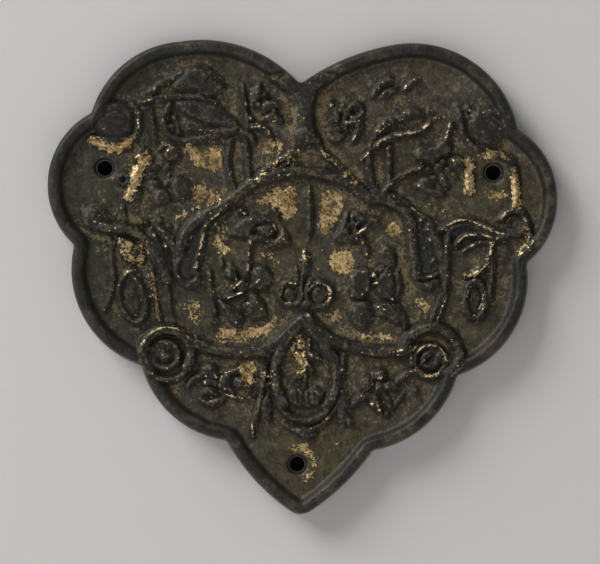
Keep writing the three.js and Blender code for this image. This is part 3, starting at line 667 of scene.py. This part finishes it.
beads(0.6, (15.7, -19.6), (16.7, -21.6), (14, -24.8), (15.5, -26), (17, -26.8), (22.5, -22.3))
gilt((-8.2, 14.6), (-5, 17), (-1.2, 17.4), (-0.2, 15.4), (-1, 12.2), (-3, 11.2), (-4, 13.8), (-7, 14))
gilt((5.4, 16.8), (7.9, 15.6), (7.6, 12.4), (6, 8.8), (4.2, 8.3), (3.9, 11), (4.2, 15.2))
gilt((5.9, 4.1), (8.8, 5.1), (10.1, 4.1), (10.1, 1.5), (8, 0.3), (6.4, 1.4))
gilt((16.8, 9), (18, 10.3), (19.3, 9), (18, 7.7))
gilt((-16.2, -11), (-15, -9.8), (-12, -10.8), (-9, -10), (-6, -9.2), (-4.8, -6.8), (-4.9, -9.8),
     (-8, -11.4), (-12, -12.4), (-15.6, -12.1))
gilt((-11.9, -17.2), (-8.7, -16.8), (-8.9, -19.5), (-10, -21.2), (-11.6, -19.5))
gilt((-31.9, 23.2), (-31, 24.6), (-29.5, 24.2), (-29.6, 22.2), (-31, 21.6))
gilt((-32.2, 21.4), (-30.6, 21.2), (-31.4, 18.6), (-32.2, 16.6), (-33, 15), (-34.2, 15.2),
     (-33.8, 17.6), (-33.2, 19.6))
gilt((32, 23), (34, 23), (33.8, 20), (34.2, 16.4), (32.2, 16), (32.2, 19.4))
thin_gilt((24.4, 14.3), (27, 14), (29, 12.4), (27, 12.8))
thin_gilt((-16.6, 10), (-14, 11), (-13.6, 6), (-15, 4.2), (-16.6, 5.6))
thin_gilt((-7.4, 4.4), (-5, 4.6), (-3.2, 3.6), (-4, 2.6), (-6.4, 3))
thin_gilt((4.8, -6.4), (7.5, -6.1), (8.4, -8), (8.2, -10.4), (6, -8.8))
thin_gilt((11.3, -11.3), (15, -10.8), (18.2, -11.5), (15, -12.2))
thin_gilt((0.2, 4.4), (1, 5.4), (2, 4.2), (2.6, 2.6), (1.2, 3.6), (-0.2, 2.6))
bright_edge((-20.5, 17.6), (-20.4, 15))
bright_edge((-12, 12.8), (-11.2, 13.2), (-10.8, 12))
bright_edge((-5.2, 10.2), (-4.9, 9.4), (-5, 8.5))
bright_edge((-9.7, 7), (-10, 4), (-10.3, 0.3))
bright_edge((-12.7, 0.6), (-12.3, -0.6))
bright_edge((-11.4, -0.9), (-13, -2.3))
bright_edge((-8, -0.5), (-9.3, -2))
bright_edge((-14, -4.1), (-11.2, -3))
bright_edge((-11.3, -6), (-9.6, -5))
bright_edge((10.9, 8.3), (12, 9), (13.3, 10))
bright_edge((14, 0), (15.2, 1.2), (16, 1.9))
bright_edge((14.5, -1.3), (15.2, -1.2))
bright_edge((9.7, 1.1), (10.1, 1.4))
bright_edge((-3.9, -3.6), (-3.4, -2), (-2.2, -1.2), (-0.8, -1.4))
bright_edge((-3, -5), (-1.4, -5.3))
bright_edge((1.5, -3), (2.2, -1.9), (3.5, -1.2), (4.8, -1.5), (5.9, -2.6), (6, -3.8), (4.8, -5.3))
bright_edge((-14.4, -22.9), (-12, -23.5), (-9.6, -23.5))
bright_edge((15.2, -19.9), (16.2, -19.5))
bright_edge((28.3, 18.8), (28.2, 17.2))
bright_edge((32.2, 16.8), (33.4, 16.3), (34.2, 17.6))
bright_edge((33.2, 22.6), (33.4, 21.4), (32.6, 20.6))
dull_edge((-27, 25), (-26, 25.8), (-25, 25.5))
dull_edge((1.3, -1.8), (2, -0.8))
dull_edge((0.4, -1.2), (0.5, 0.3))
dull_edge((0, 3.2), (1, 5.2), (2.2, 3.2))
dull_edge((-15.7, -22.3), (-15.5, -20), (-14.5, -18.7), (-12, -18.1))
dull_edge((14, -18.8), (15.5, -18.3), (17, -18.7))
bright_spots((-17, -3), (-17.2, -9.3), (1.7, 17.4), (12.5, 7), (13, 4.5), (11.6, 13), (11, 11.3),
             (17.4, 0.5), (15.8, -2.8), (18, -4.3), (16.4, -6.4), (14.6, -4.2), (13.6, 3.2), (3.4, 1.6),
             (4.3, 5.2), (-18.3, -19.3), (-16.4, -19.6), (-18.5, -20.6), (-17.2, -23.5), (-5.8, -20.7),
             (-5, -19.2), (11, -24.2), (16.7, -21.6), (14, -24.8), (15.5, -26), (29.8, 22.8),
             (29.5, 20.5), (23, 17.8), (25.5, 17))

# The casting's body. A square net is drawn out over the plate: its outer rings climb the wall and
# cross the rim, and the inner ones shrink towards the middle. The ornament lifts it, three nail
# holes go right through, a little narrower at the back, and a flat back closes it.
net_rings = 152
wall_rings = 4
rim_rings = 15
rim_crest = (0.34, 0.50)
rim_roundness = 2.4
rim_ring_crowding = 1.25
casting_scale = 1.18
casting_softness = 0.12
rim_overlap = 0.15
sand_grains = [(0.024, 0.3, 3), (0.02, 0.9, 5), (0.03, 3, 8)]
nail_holes = [(-38.2, 21.3), (37.8, 20.4), (-0.6, -36.6)]
hole_radius = 1.92 * unit
hole_wear = 0.25 * millimetre
hole_wear_reach = 0.3 * millimetre
bore_layers = (0.66, 0.33, 0)
bore_taper = 0.22
waste_radius = 0.95 * hole_radius
lip_radius = 1.4 * hole_radius
bore_reach = 1.01 * hole_radius


def blur(values, radius):
    """Softens the board's values by a radius in units."""
    rows = np.fft.fftfreq(values.shape[0], board_pitch)[:, None]
    columns = np.fft.rfftfreq(values.shape[1], board_pitch)[None, :]
    soft = np.exp(-2 * (math.pi * radius) ** 2 * (rows**2 + columns**2))
    return np.fft.irfft2(np.fft.rfft2(values) * soft, s=values.shape)


def cast_grain(radius, seed):
    """An even random roughness, with lumps of about the given size."""
    grain = blur(np.random.default_rng(seed).standard_normal(board_x.shape), radius)
    return grain / grain.std()


def at_places(values, x, z):
    """The board's values at places in metres."""
    column = ((x / unit - board_across[0]) / board_pitch).clip(0, len(board_across) - 1.001)
    row = ((z / unit - board_up[0]) / board_pitch).clip(0, len(board_up) - 1.001)
    left = column.astype(int)
    low = row.astype(int)
    right_share = column - left
    top_share = row - low
    bottom = values[low, left] * (1 - right_share) + values[low, left + 1] * right_share
    top = values[low + 1, left] * (1 - right_share) + values[low + 1, left + 1] * right_share
    return bottom * (1 - top_share) + top * top_share


def rim_profile(inset):
    """The rim's rise over the field: round outside, nearly flat on top, and a soft slope inside."""
    across_rim = (inset - wall_slope) / (rim_inset - wall_slope)
    outer = (1 - across_rim / rim_crest[0]).clip(0, 1)
    inner = ((across_rim - rim_crest[1]) / (1 - rim_crest[1])).clip(0, 1)
    return rim_height * np.sqrt(1 - outer**rim_roundness) * (0.5 + 0.5 * np.cos(math.pi * inner))


worn = casting_scale * blur(relief, casting_softness)
surface = worn + sum(height * cast_grain(radius, seed) for height, radius, seed in sand_grains)

casting = bmesh.new()
bmesh.ops.create_grid(casting, x_segments=2 * net_rings, y_segments=2 * net_rings, size=net_rings)
net = np.array([vert.co for vert in casting.verts])
across = np.rint(net[:, 0])
up = np.rint(net[:, 1])
ring = np.maximum(np.abs(across), np.abs(up))
size = np.maximum(ring, 1)
sides = [(up == ring) & (across >= 0), across == ring, up == -ring, across == -ring]
turns = [across / size, 2 - up / size, 4 - across / size, 6 + up / size]
share = np.select(sides, turns, 8 + across / size) / 8
steps_in = (net_rings - ring).clip(0, wall_rings + rim_rings)
wall_share = (steps_in / wall_rings).clip(0, 1)
rim_share = ((steps_in - wall_rings) / rim_rings).clip(0, 1)
inset = edge_wear + wall_share * (wall_slope - edge_wear)
inset += rim_share**rim_ring_crowding * (rim_inset - wall_slope)
spot_x, spot_z = edge_points(share, inset)
shrink = (ring / (net_rings - wall_rings - rim_rings)).clip(0, 1)
spot_x *= shrink
spot_z *= shrink
on_rim = rim_profile(inset)
ornament = millimetre * at_places(surface, spot_x, spot_z)
rise = np.maximum(on_rim, ornament * (rim_share > 0))
rise += rim_overlap * np.minimum(on_rim, ornament.clip(0))
rise = np.minimum(rise, rim_height)
for hole_x, hole_z in nail_holes:
    away = np.hypot(spot_x - hole_x * unit, spot_z - hole_z * unit) - hole_radius
    rise -= hole_wear * np.exp(-(away.clip(0) / hole_wear_reach) ** 2)
spot_y = -wall_share * (field_thickness + rise)
for vert, x, y, z in zip(casting.verts, spot_x, spot_y, spot_z):
    vert.co = (x, y, z)


def round_off(lip, middle):
    """Sets the corners of a hole's rough lip evenly round its circle, in their own order."""
    before, corner = lip[0].verts
    corners = [corner]
    for _ in lip[1:]:
        onward = next(side.other_vert(corner) for side in corner.link_edges
                      if side in lip and side.other_vert(corner) != before)
        before, corner = corner, onward
        corners.append(corner)
    spokes = [corner.co.xz - middle for corner in corners]
    turn = math.copysign(2 * math.pi, sum(a.cross(b) for a, b in zip(spokes, spokes[1:])))
    first = math.atan2(spokes[0].y, spokes[0].x)
    for k, corner in enumerate(corners):
        corner.co.x = middle.x + hole_radius * math.cos(first + turn * k / len(corners))
        corner.co.z = middle.y + hole_radius * math.sin(first + turn * k / len(corners))


for hole_x, hole_z in nail_holes:
    middle = Vector((hole_x * unit, hole_z * unit))
    waste = [face for face in casting.faces
             if (face.calc_center_median().xz - middle).length < waste_radius]
    bmesh.ops.delete(casting, geom=waste, context="FACES")
    lip = [side for side in casting.edges if side.is_boundary
           and all((vert.co.xz - middle).length < lip_radius for vert in side.verts)]
    round_off(lip, middle)
    for layer in bore_layers:
        bored = bmesh.ops.extrude_edge_only(casting, edges=lip)["geom"]
        lip = [item for item in bored if isinstance(item, bmesh.types.BMEdge)]
        for vert in {vert for side in lip for vert in side.verts}:
            outward = (vert.co.xz - middle).normalized() * hole_radius * (1 - bore_taper * (1 - layer))
            vert.co = (middle.x + outward.x, -layer * field_thickness, middle.y + outward.y)

back_edges = [side for side in casting.edges if side.is_boundary]
for back_edge in back_edges:
    back_edge.smooth = False
bmesh.ops.triangle_fill(casting, edges=back_edges, use_beauty=True, normal=(0, 1, 0))
bmesh.ops.recalc_face_normals(casting, faces=casting.faces)
for face in casting.faces:
    face.smooth = True

plaque_mesh = bpy.data.meshes.new("gilt_plaque")
casting.to_mesh(plaque_mesh)
casting.free()
plaque = bpy.data.objects.new("gilt_plaque", plaque_mesh)
bpy.context.scene.collection.objects.link(plaque)

# The finish reads where the casting is high or hollow, where gilding and bright edges (rubbed metal
# with painted highlight) are, and how near a place is to the rim, the holes and the back. The mesh keeps each
# as an attribute.
ridge_reach = 0.45
ridge_height = 0.13
hollow_reach = 0.4
hollow_depth = 0.12
dust_reach = 1.6
dust_height = 0.25
full_relief = 0.5
covering_relief = 0.3
back_share = 0.6
front_blend = 0.3

places = np.array([vert.co for vert in plaque_mesh.vertices])
front_share = ((-places[:, 1] / field_thickness - back_share) / front_blend).clip(0, 1)


def keep_on_mesh(name, values):
    layer = plaque_mesh.attributes.new(name, "FLOAT", "POINT")
    layer.data.foreach_set("value", values.astype(np.float32))


def keep_from_board(name, values):
    keep_on_mesh(name, front_share * at_places(values, places[:, 0], places[:, 2]))


keep_on_mesh("front", front_share)
keep_from_board("raised", (worn / full_relief).clip(0, 1))
keep_from_board("gilding", gilding)
keep_from_board("gleam", gleam)
keep_from_board("ridge", ((worn - blur(worn, ridge_reach)) / ridge_height).clip(0, 1))
keep_from_board("crease_shade", ((blur(worn, hollow_reach) - worn) / hollow_depth).clip(0, 1))
keep_from_board("dust", (blur(worn, dust_reach) / dust_height).clip(0, 1))
plain_rim = 1 - at_places((worn / covering_relief).clip(0, 1), places[:, 0], places[:, 2])
rim_rise = ((-places[:, 1] - field_thickness) / rim_height).clip(0, 1)
keep_on_mesh("rim", front_share * rim_rise * plain_rim)
bore = np.zeros(len(places))
for hole_x, hole_z in nail_holes:
    from_middle = np.hypot(places[:, 0] - hole_x * unit, places[:, 2] - hole_z * unit)
    bore[(from_middle < bore_reach) & (places[:, 1] < 0)] = 1
keep_on_mesh("bore", bore)


# The casting's finish: bronze gone dark olive and brown, worn remains of gilding in the field, and
# high edges rubbed bright with painted highlights. Grey green lies on the rim; painted shade in hollows and
# holes.
olive_brown = (0.072, 0.063, 0.032)
green_brown = (0.054, 0.052, 0.033)
grey_brown = (0.077, 0.069, 0.051)
red_brown = (0.098, 0.068, 0.050)
dull_gold = (0.235, 0.180, 0.080)
old_gold = (0.30, 0.205, 0.080)
pale_gold = (0.62, 0.46, 0.22)
# Rubbed metal lightened towards white as a painted highlight.
rubbed_gold_highlight = (0.90, 0.68, 0.38)
bare_dark = (0.019, 0.019, 0.015)
bare_grey = (0.040, 0.040, 0.032)
green_grey = (0.030, 0.034, 0.025)
back_brown = (0.052, 0.034, 0.025)
# Near-black painted shade, laid in the hollows beside the ornament and at the foot of the rim.
painted_shade_dark = (0.012, 0.011, 0.008)
# Near-black painted shade for the walls of the nail holes.
hole_painted_shade = (0.004, 0.004, 0.003)
broad_lump = 11 * millimetre
patchy_lump = 3.5 * millimetre
fine_lump = 1.1 * millimetre
grit_lump = 0.42 * millimetre
pit_spacing = 0.7 * millimetre
highlight_spacing = 0.8 * millimetre
bump_depth = 0.26 * millimetre

finish = bpy.data.materials.new("worn_gilt_bronze")
finish.use_nodes = True
nodes = finish.node_tree.nodes
links = finish.node_tree.links
nodes.clear()


def node(kind, inputs, **settings):
    """A shader node with its settings, and its sockets set or linked by name or place."""
    made = nodes.new(kind)
    for key, value in settings.items():
        setattr(made, key, value)
    for key, value in inputs.items():
        if isinstance(value, bpy.types.NodeSocket):
            links.new(value, made.inputs[key])
        else:
            made.inputs[key].default_value = value
    return made


def plus(first, second):
    return node("ShaderNodeMath", {0: first, 1: second}, operation="ADD").outputs[0]


def times(first, second):
    return node("ShaderNodeMath", {0: first, 1: second}, operation="MULTIPLY").outputs[0]


def larger(first, second):
    return node("ShaderNodeMath", {0: first, 1: second}, operation="MAXIMUM").outputs[0]


def swing(noise, amount):
    """A noise as a change up and down, by about a third of the amount."""
    return times(plus(noise, -0.5), amount)


def step_between(value, low, high):
    """0 below low, 1 above high, and smooth between."""
    made = node("ShaderNodeMapRange", {"Value": value, "From Min": low, "From Max": high},
                interpolation_type="SMOOTHSTEP")
    return made.outputs["Result"]


def mixed(share, first, second):
    """The first colour, and the second one in the given share."""
    made = node("ShaderNodeMix", {0: share}, data_type="RGBA")
    for place, value in ((6, first), (7, second)):
        if isinstance(value, bpy.types.NodeSocket):
            links.new(value, made.inputs[place])
        else:
            made.inputs[place].default_value = (*value, 1)
    return made.outputs[2]


def shaded(colour, darkest, lightest, noise):
    """The colour made darker and lighter by a noise."""
    amount = node("ShaderNodeMapRange", {
        "Value": noise, "From Min": 0.32, "From Max": 0.68, "To Min": darkest, "To Max": lightest})
    scaled = node("ShaderNodeVectorMath", {0: colour, "Scale": amount.outputs[0]}, operation="SCALE")
    return scaled.outputs[0]


def kept(name):
    return node("ShaderNodeAttribute", {}, attribute_name=name).outputs["Fac"]


object_place = node("ShaderNodeTexCoord", {}).outputs["Object"]


def lumps(lump_size, detail, roughness, shift):
    """Noise with lumps of about the given size."""
    moved = node("ShaderNodeMapping", {"Vector": object_place, "Location": (shift, shift, shift)})
    made = node("ShaderNodeTexNoise", {
        "Vector": moved.outputs["Vector"], "Scale": 1 / lump_size, "Detail": detail, "Roughness": roughness})
    return made.outputs["Fac"]


raised = kept("raised")
gilt_left = kept("gilding")
gleaming = kept("gleam")
ridge = kept("ridge")
crease_shade = kept("crease_shade")
dust = kept("dust")
rim = kept("rim")
broad = lumps(broad_lump, 4.0, 0.6, 0.0)
patchy = lumps(patchy_lump, 4.0, 0.65, 0.3)
fine = lumps(fine_lump, 3.0, 0.7, 0.7)
grit = lumps(grit_lump, 2.0, 0.7, 1.1)

# The ground, greener on the left, with a dull gold dust that lies thicker beside the ornament.
along = node("ShaderNodeSeparateXYZ", {"Vector": object_place}).outputs["X"]
ground = mixed(step_between(broad, 0.40, 0.62), olive_brown, grey_brown)
ground = mixed(times(step_between(patchy, 0.50, 0.68), 0.6), ground, red_brown)
ground = mixed(step_between(plus(along, times(broad, 0.03)), -0.012, 0.012), green_brown, ground)
ground = shaded(shaded(ground, 0.5, 1.5, fine), 0.75, 1.25, grit)
speckle = plus(times(fine, 0.45), times(grit, 0.55))
speckle = plus(speckle, plus(swing(dust, 0.11), plus(swing(broad, 0.36), swing(patchy, 0.2))))
ground = mixed(times(step_between(speckle, 0.55, 0.62), 0.85), ground, dull_gold)

# The bare metal of the ornament and rim, with grey green patches and gold on its ridges: wear and painted
# glint.
metal = mixed(step_between(plus(times(patchy, 0.5), times(fine, 0.5)), 0.44, 0.64), bare_dark, bare_grey)
metal = mixed(times(step_between(broad, 0.5, 0.66), 0.55), metal, green_grey)
metal = shaded(metal, 0.6, 1.5, grit)
worn_rim = mixed(times(step_between(patchy, 0.46, 0.62), 0.45), metal, ground)
metal = mixed(step_between(rim, 0.0, 0.5), metal, worn_rim)
high = larger(step_between(raised, 0.25, 0.8), step_between(rim, 0.08, 0.4))
colour = mixed(high, ground, metal)
glint = times(ridge, step_between(plus(fine, plus(grit, -0.5)), 0.50, 0.64))
colour = mixed(times(glint, 0.45), colour, dull_gold)
# Painted shade: the hollows beside the ornament are darkened.
colour = mixed(times(crease_shade, 0.85), colour, painted_shade_dark)
# Painted shade: the field at the foot of the rim's inner slope is darkened.
rim_foot_shade = times(step_between(rim, 0.0, 0.15), step_between(rim, 0.95, 0.55))
colour = mixed(times(rim_foot_shade, 0.55), colour, painted_shade_dark)

# The flat back, which saw neither gilding nor polish.
back_colour = mixed(step_between(patchy, 0.42, 0.62), back_brown, green_grey)
back_colour = shaded(mixed(step_between(fine, 0.56, 0.70), back_colour, grey_brown), 0.6, 1.5, grit)
colour = mixed(kept("front"), back_colour, colour)

# The gilding frays at its borders and is eaten by small pits.
frayed = plus(plus(gilt_left, swing(fine, 1.7)), plus(swing(patchy, 1.0), swing(grit, 1.3)))
gilt_share = times(step_between(frayed, 0.44, 0.58), step_between(gilt_left, 0.02, 0.25))
gold = shaded(mixed(step_between(patchy, 0.40, 0.60), old_gold, pale_gold), 0.4, 1.6, grit)
pits = node("ShaderNodeTexVoronoi", {"Vector": object_place, "Scale": 1 / pit_spacing})
pitted = plus(plus(pits.outputs["Distance"], times(patchy, 1.5)), times(grit, 0.5))
gilt_share = times(gilt_share, plus(times(step_between(pitted, 1.24, 1.34), 0.92), 0.08))
colour = mixed(gilt_share, colour, gold)

# Broken bright lines on the rubbed edges, rubbed metal with painted highlight, and painted highlight specks
# on ridges and in the gold dust.
broken = plus(gleaming, plus(swing(fine, 2.2), swing(grit, 2.4)))
bright = times(step_between(broken, 0.55, 0.85), step_between(gleaming, 0.1, 0.5))
# Painted highlight: small bright specks scattered on ridges and in the gold dust.
highlight_cells = node("ShaderNodeTexVoronoi", {"Vector": object_place, "Scale": 1 / highlight_spacing})
spark_kind = node("ShaderNodeSeparateColor", {"Color": highlight_cells.outputs["Color"]}).outputs["Red"]
highlight_speck = times(step_between(plus(highlight_cells.outputs["Distance"], times(grit, 0.3)), 0.36, 0.26),
              step_between(spark_kind, 0.60, 0.64))
highlight_speck = times(highlight_speck, step_between(larger(ridge, times(dust, 0.35)), 0.2, 0.6))
bright = larger(bright, times(highlight_speck, 0.8))
colour = mixed(bright, colour, rubbed_gold_highlight)
# Painted shade: the walls of the nail holes are near black, so the holes read dark right through.
colour = mixed(kept("bore"), colour, hole_painted_shade)

metallic = larger(times(gilt_share, 0.8), larger(times(bright, 0.75), 0.35))
metallic = times(metallic, plus(1.0, times(kept("bore"), -1.0)))
roughness = plus(times(fine, 0.35), plus(times(gilt_share, -0.05), times(bright, -0.16)))
roughness = larger(plus(roughness, 0.36), kept("bore"))
rough_height = times(plus(times(fine, 0.7), times(grit, 0.6)),
                     plus(times(step_between(raised, 0.6, 1.0), -0.5), 1.0))
bump = node("ShaderNodeBump", {"Height": rough_height, "Strength": 0.8, "Distance": bump_depth})
shader = node("ShaderNodeBsdfPrincipled", {
    "Base Color": colour, "Metallic": metallic, "Roughness": roughness,
    "Normal": bump.outputs["Normal"], "Specular IOR Level": 0.4})
node("ShaderNodeOutputMaterial", {"Surface": shader.outputs["BSDF"]})
plaque_mesh.materials.append(finish)

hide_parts("plaque")
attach(plaque, "root")


# The wall and the floor: plain pale sheets. The plaque stands a little off the wall, as it stood
# off its sheet of paper in the photograph. The wall shows from the front only, so that the
# plaque's back can be seen too. A small dark card behind each nail hole keeps the hole black.
wall_gap = 1.0 * millimetre
card_gap = 0.2 * millimetre
card_side = 2.6 * hole_radius
shade_card_colour = (0.01, 0.01, 0.01, 1)
sheet_side = 3.0
floor_drop = 0.12
sheet_shade = (0.72, 0.705, 0.70, 1)


def plain_sheet(name, place, side=sheet_side, shade=sheet_shade):
    """A square matt sheet."""
    sheet = bmesh.new()
    bmesh.ops.create_grid(sheet, x_segments=1, y_segments=1, size=side / 2, matrix=place)
    sheet_mesh = bpy.data.meshes.new(name)
    sheet.to_mesh(sheet_mesh)
    sheet.free()
    made = bpy.data.objects.new(name, sheet_mesh)
    bpy.context.scene.collection.objects.link(made)
    paint = bpy.data.materials.new(name)
    paint.use_nodes = True
    matt = paint.node_tree.nodes["Principled BSDF"]
    matt.inputs["Base Color"].default_value = shade
    matt.inputs["Roughness"].default_value = 0.9
    matt.inputs["Specular IOR Level"].default_value = 0.1
    sheet_mesh.materials.append(paint)
    return paint.node_tree


def clear_from_behind(tree):
    """The wall is clear to rays from behind, and to the light that goes straight to the plaque."""
    path = tree.nodes.new("ShaderNodeLightPath")
    bounced = tree.nodes.new("ShaderNodeMath")
    bounced.operation = "GREATER_THAN"
    bounced.inputs[1].default_value = 1.5
    tree.links.new(path.outputs["Ray Depth"], bounced.inputs[0])
    seen = tree.nodes.new("ShaderNodeMath")
    seen.operation = "MAXIMUM"
    tree.links.new(bounced.outputs[0], seen.inputs[0])
    tree.links.new(path.outputs["Is Camera Ray"], seen.inputs[1])
    facing = tree.nodes.new("ShaderNodeNewGeometry")
    shown = tree.nodes.new("ShaderNodeMath")
    shown.operation = "SUBTRACT"
    shown.use_clamp = True
    tree.links.new(seen.outputs[0], shown.inputs[0])
    tree.links.new(facing.outputs["Backfacing"], shown.inputs[1])
    clear = tree.nodes.new("ShaderNodeBsdfTransparent")
    either = tree.nodes.new("ShaderNodeMixShader")
    tree.links.new(shown.outputs[0], either.inputs[0])
    tree.links.new(clear.outputs[0], either.inputs[1])
    tree.links.new(tree.nodes["Principled BSDF"].outputs[0], either.inputs[2])
    tree.links.new(either.outputs[0], tree.nodes["Material Output"].inputs["Surface"])


upright = Matrix.Rotation(math.radians(90), 4, "X")
wall_middle = (0, wall_gap, sheet_side / 2 - floor_drop)
clear_from_behind(plain_sheet("wall", Matrix.Translation(wall_middle) @ upright))
plain_sheet("floor", Matrix.Translation((0, 0, -floor_drop)))
# Painted shade: a near-black card behind each nail hole stands in for the deep shade there.
for hole_x, hole_z in nail_holes:
    card_place = Matrix.Translation((hole_x * unit, card_gap, hole_z * unit)) @ upright
    clear_from_behind(plain_sheet("hole_shade_card", card_place, card_side, shade_card_colour))

# The light: one soft window high on the left, and an even pale surround that is dark on the
# lens's side. The camera is straight in front and far off, as the photograph was taken.
key_place = (-0.98, -0.62, 1.02)
key_side = 0.85
key_power = 21.2
surround_strength = 0.605
dark_side = -0.78
light_side = -0.30
view_width = 117.5 * unit
view_height = -0.98 * unit
camera_distance = 0.60
film_width = 36

key = bpy.data.lights.new("key_window", "AREA")
key.shape = "SQUARE"
key.size = key_side
key.energy = key_power
key_window = bpy.data.objects.new("key_window", key)
key_window.location = key_place
key_window.rotation_euler = (-Vector(key_place)).to_track_quat("-Z", "Y").to_euler()
bpy.context.scene.collection.objects.link(key_window)

surround = bpy.data.worlds.new("surround")
surround.use_nodes = True
nodes = surround.node_tree.nodes
links = surround.node_tree.links
outward = node("ShaderNodeSeparateXYZ", {0: node("ShaderNodeTexCoord", {}).outputs["Generated"]})
lit_side = node("ShaderNodeMapRange", {
    "Value": outward.outputs["Y"], "From Min": dark_side, "From Max": light_side,
    "To Max": surround_strength}, interpolation_type="SMOOTHSTEP")
seen_by_camera = node("ShaderNodeLightPath", {}).outputs["Is Camera Ray"]
pale_air = nodes["Background"]
pale_air.inputs["Color"].default_value = (0.83, 0.82, 0.81, 1)
links.new(larger(lit_side.outputs["Result"], seen_by_camera), pale_air.inputs["Strength"])
bpy.context.scene.world = surround

lens = bpy.data.cameras.new("camera")
lens.sensor_width = film_width
lens.lens = film_width * camera_distance / view_width
lens.clip_start = 0.01
camera = bpy.data.objects.new("camera", lens)
camera.location = (0, -camera_distance, view_height)
camera.rotation_euler = (math.radians(90), 0, 0)
bpy.context.scene.collection.objects.link(camera)
bpy.context.scene.camera = camera
bpy.context.scene.view_settings.view_transform = "Standard"
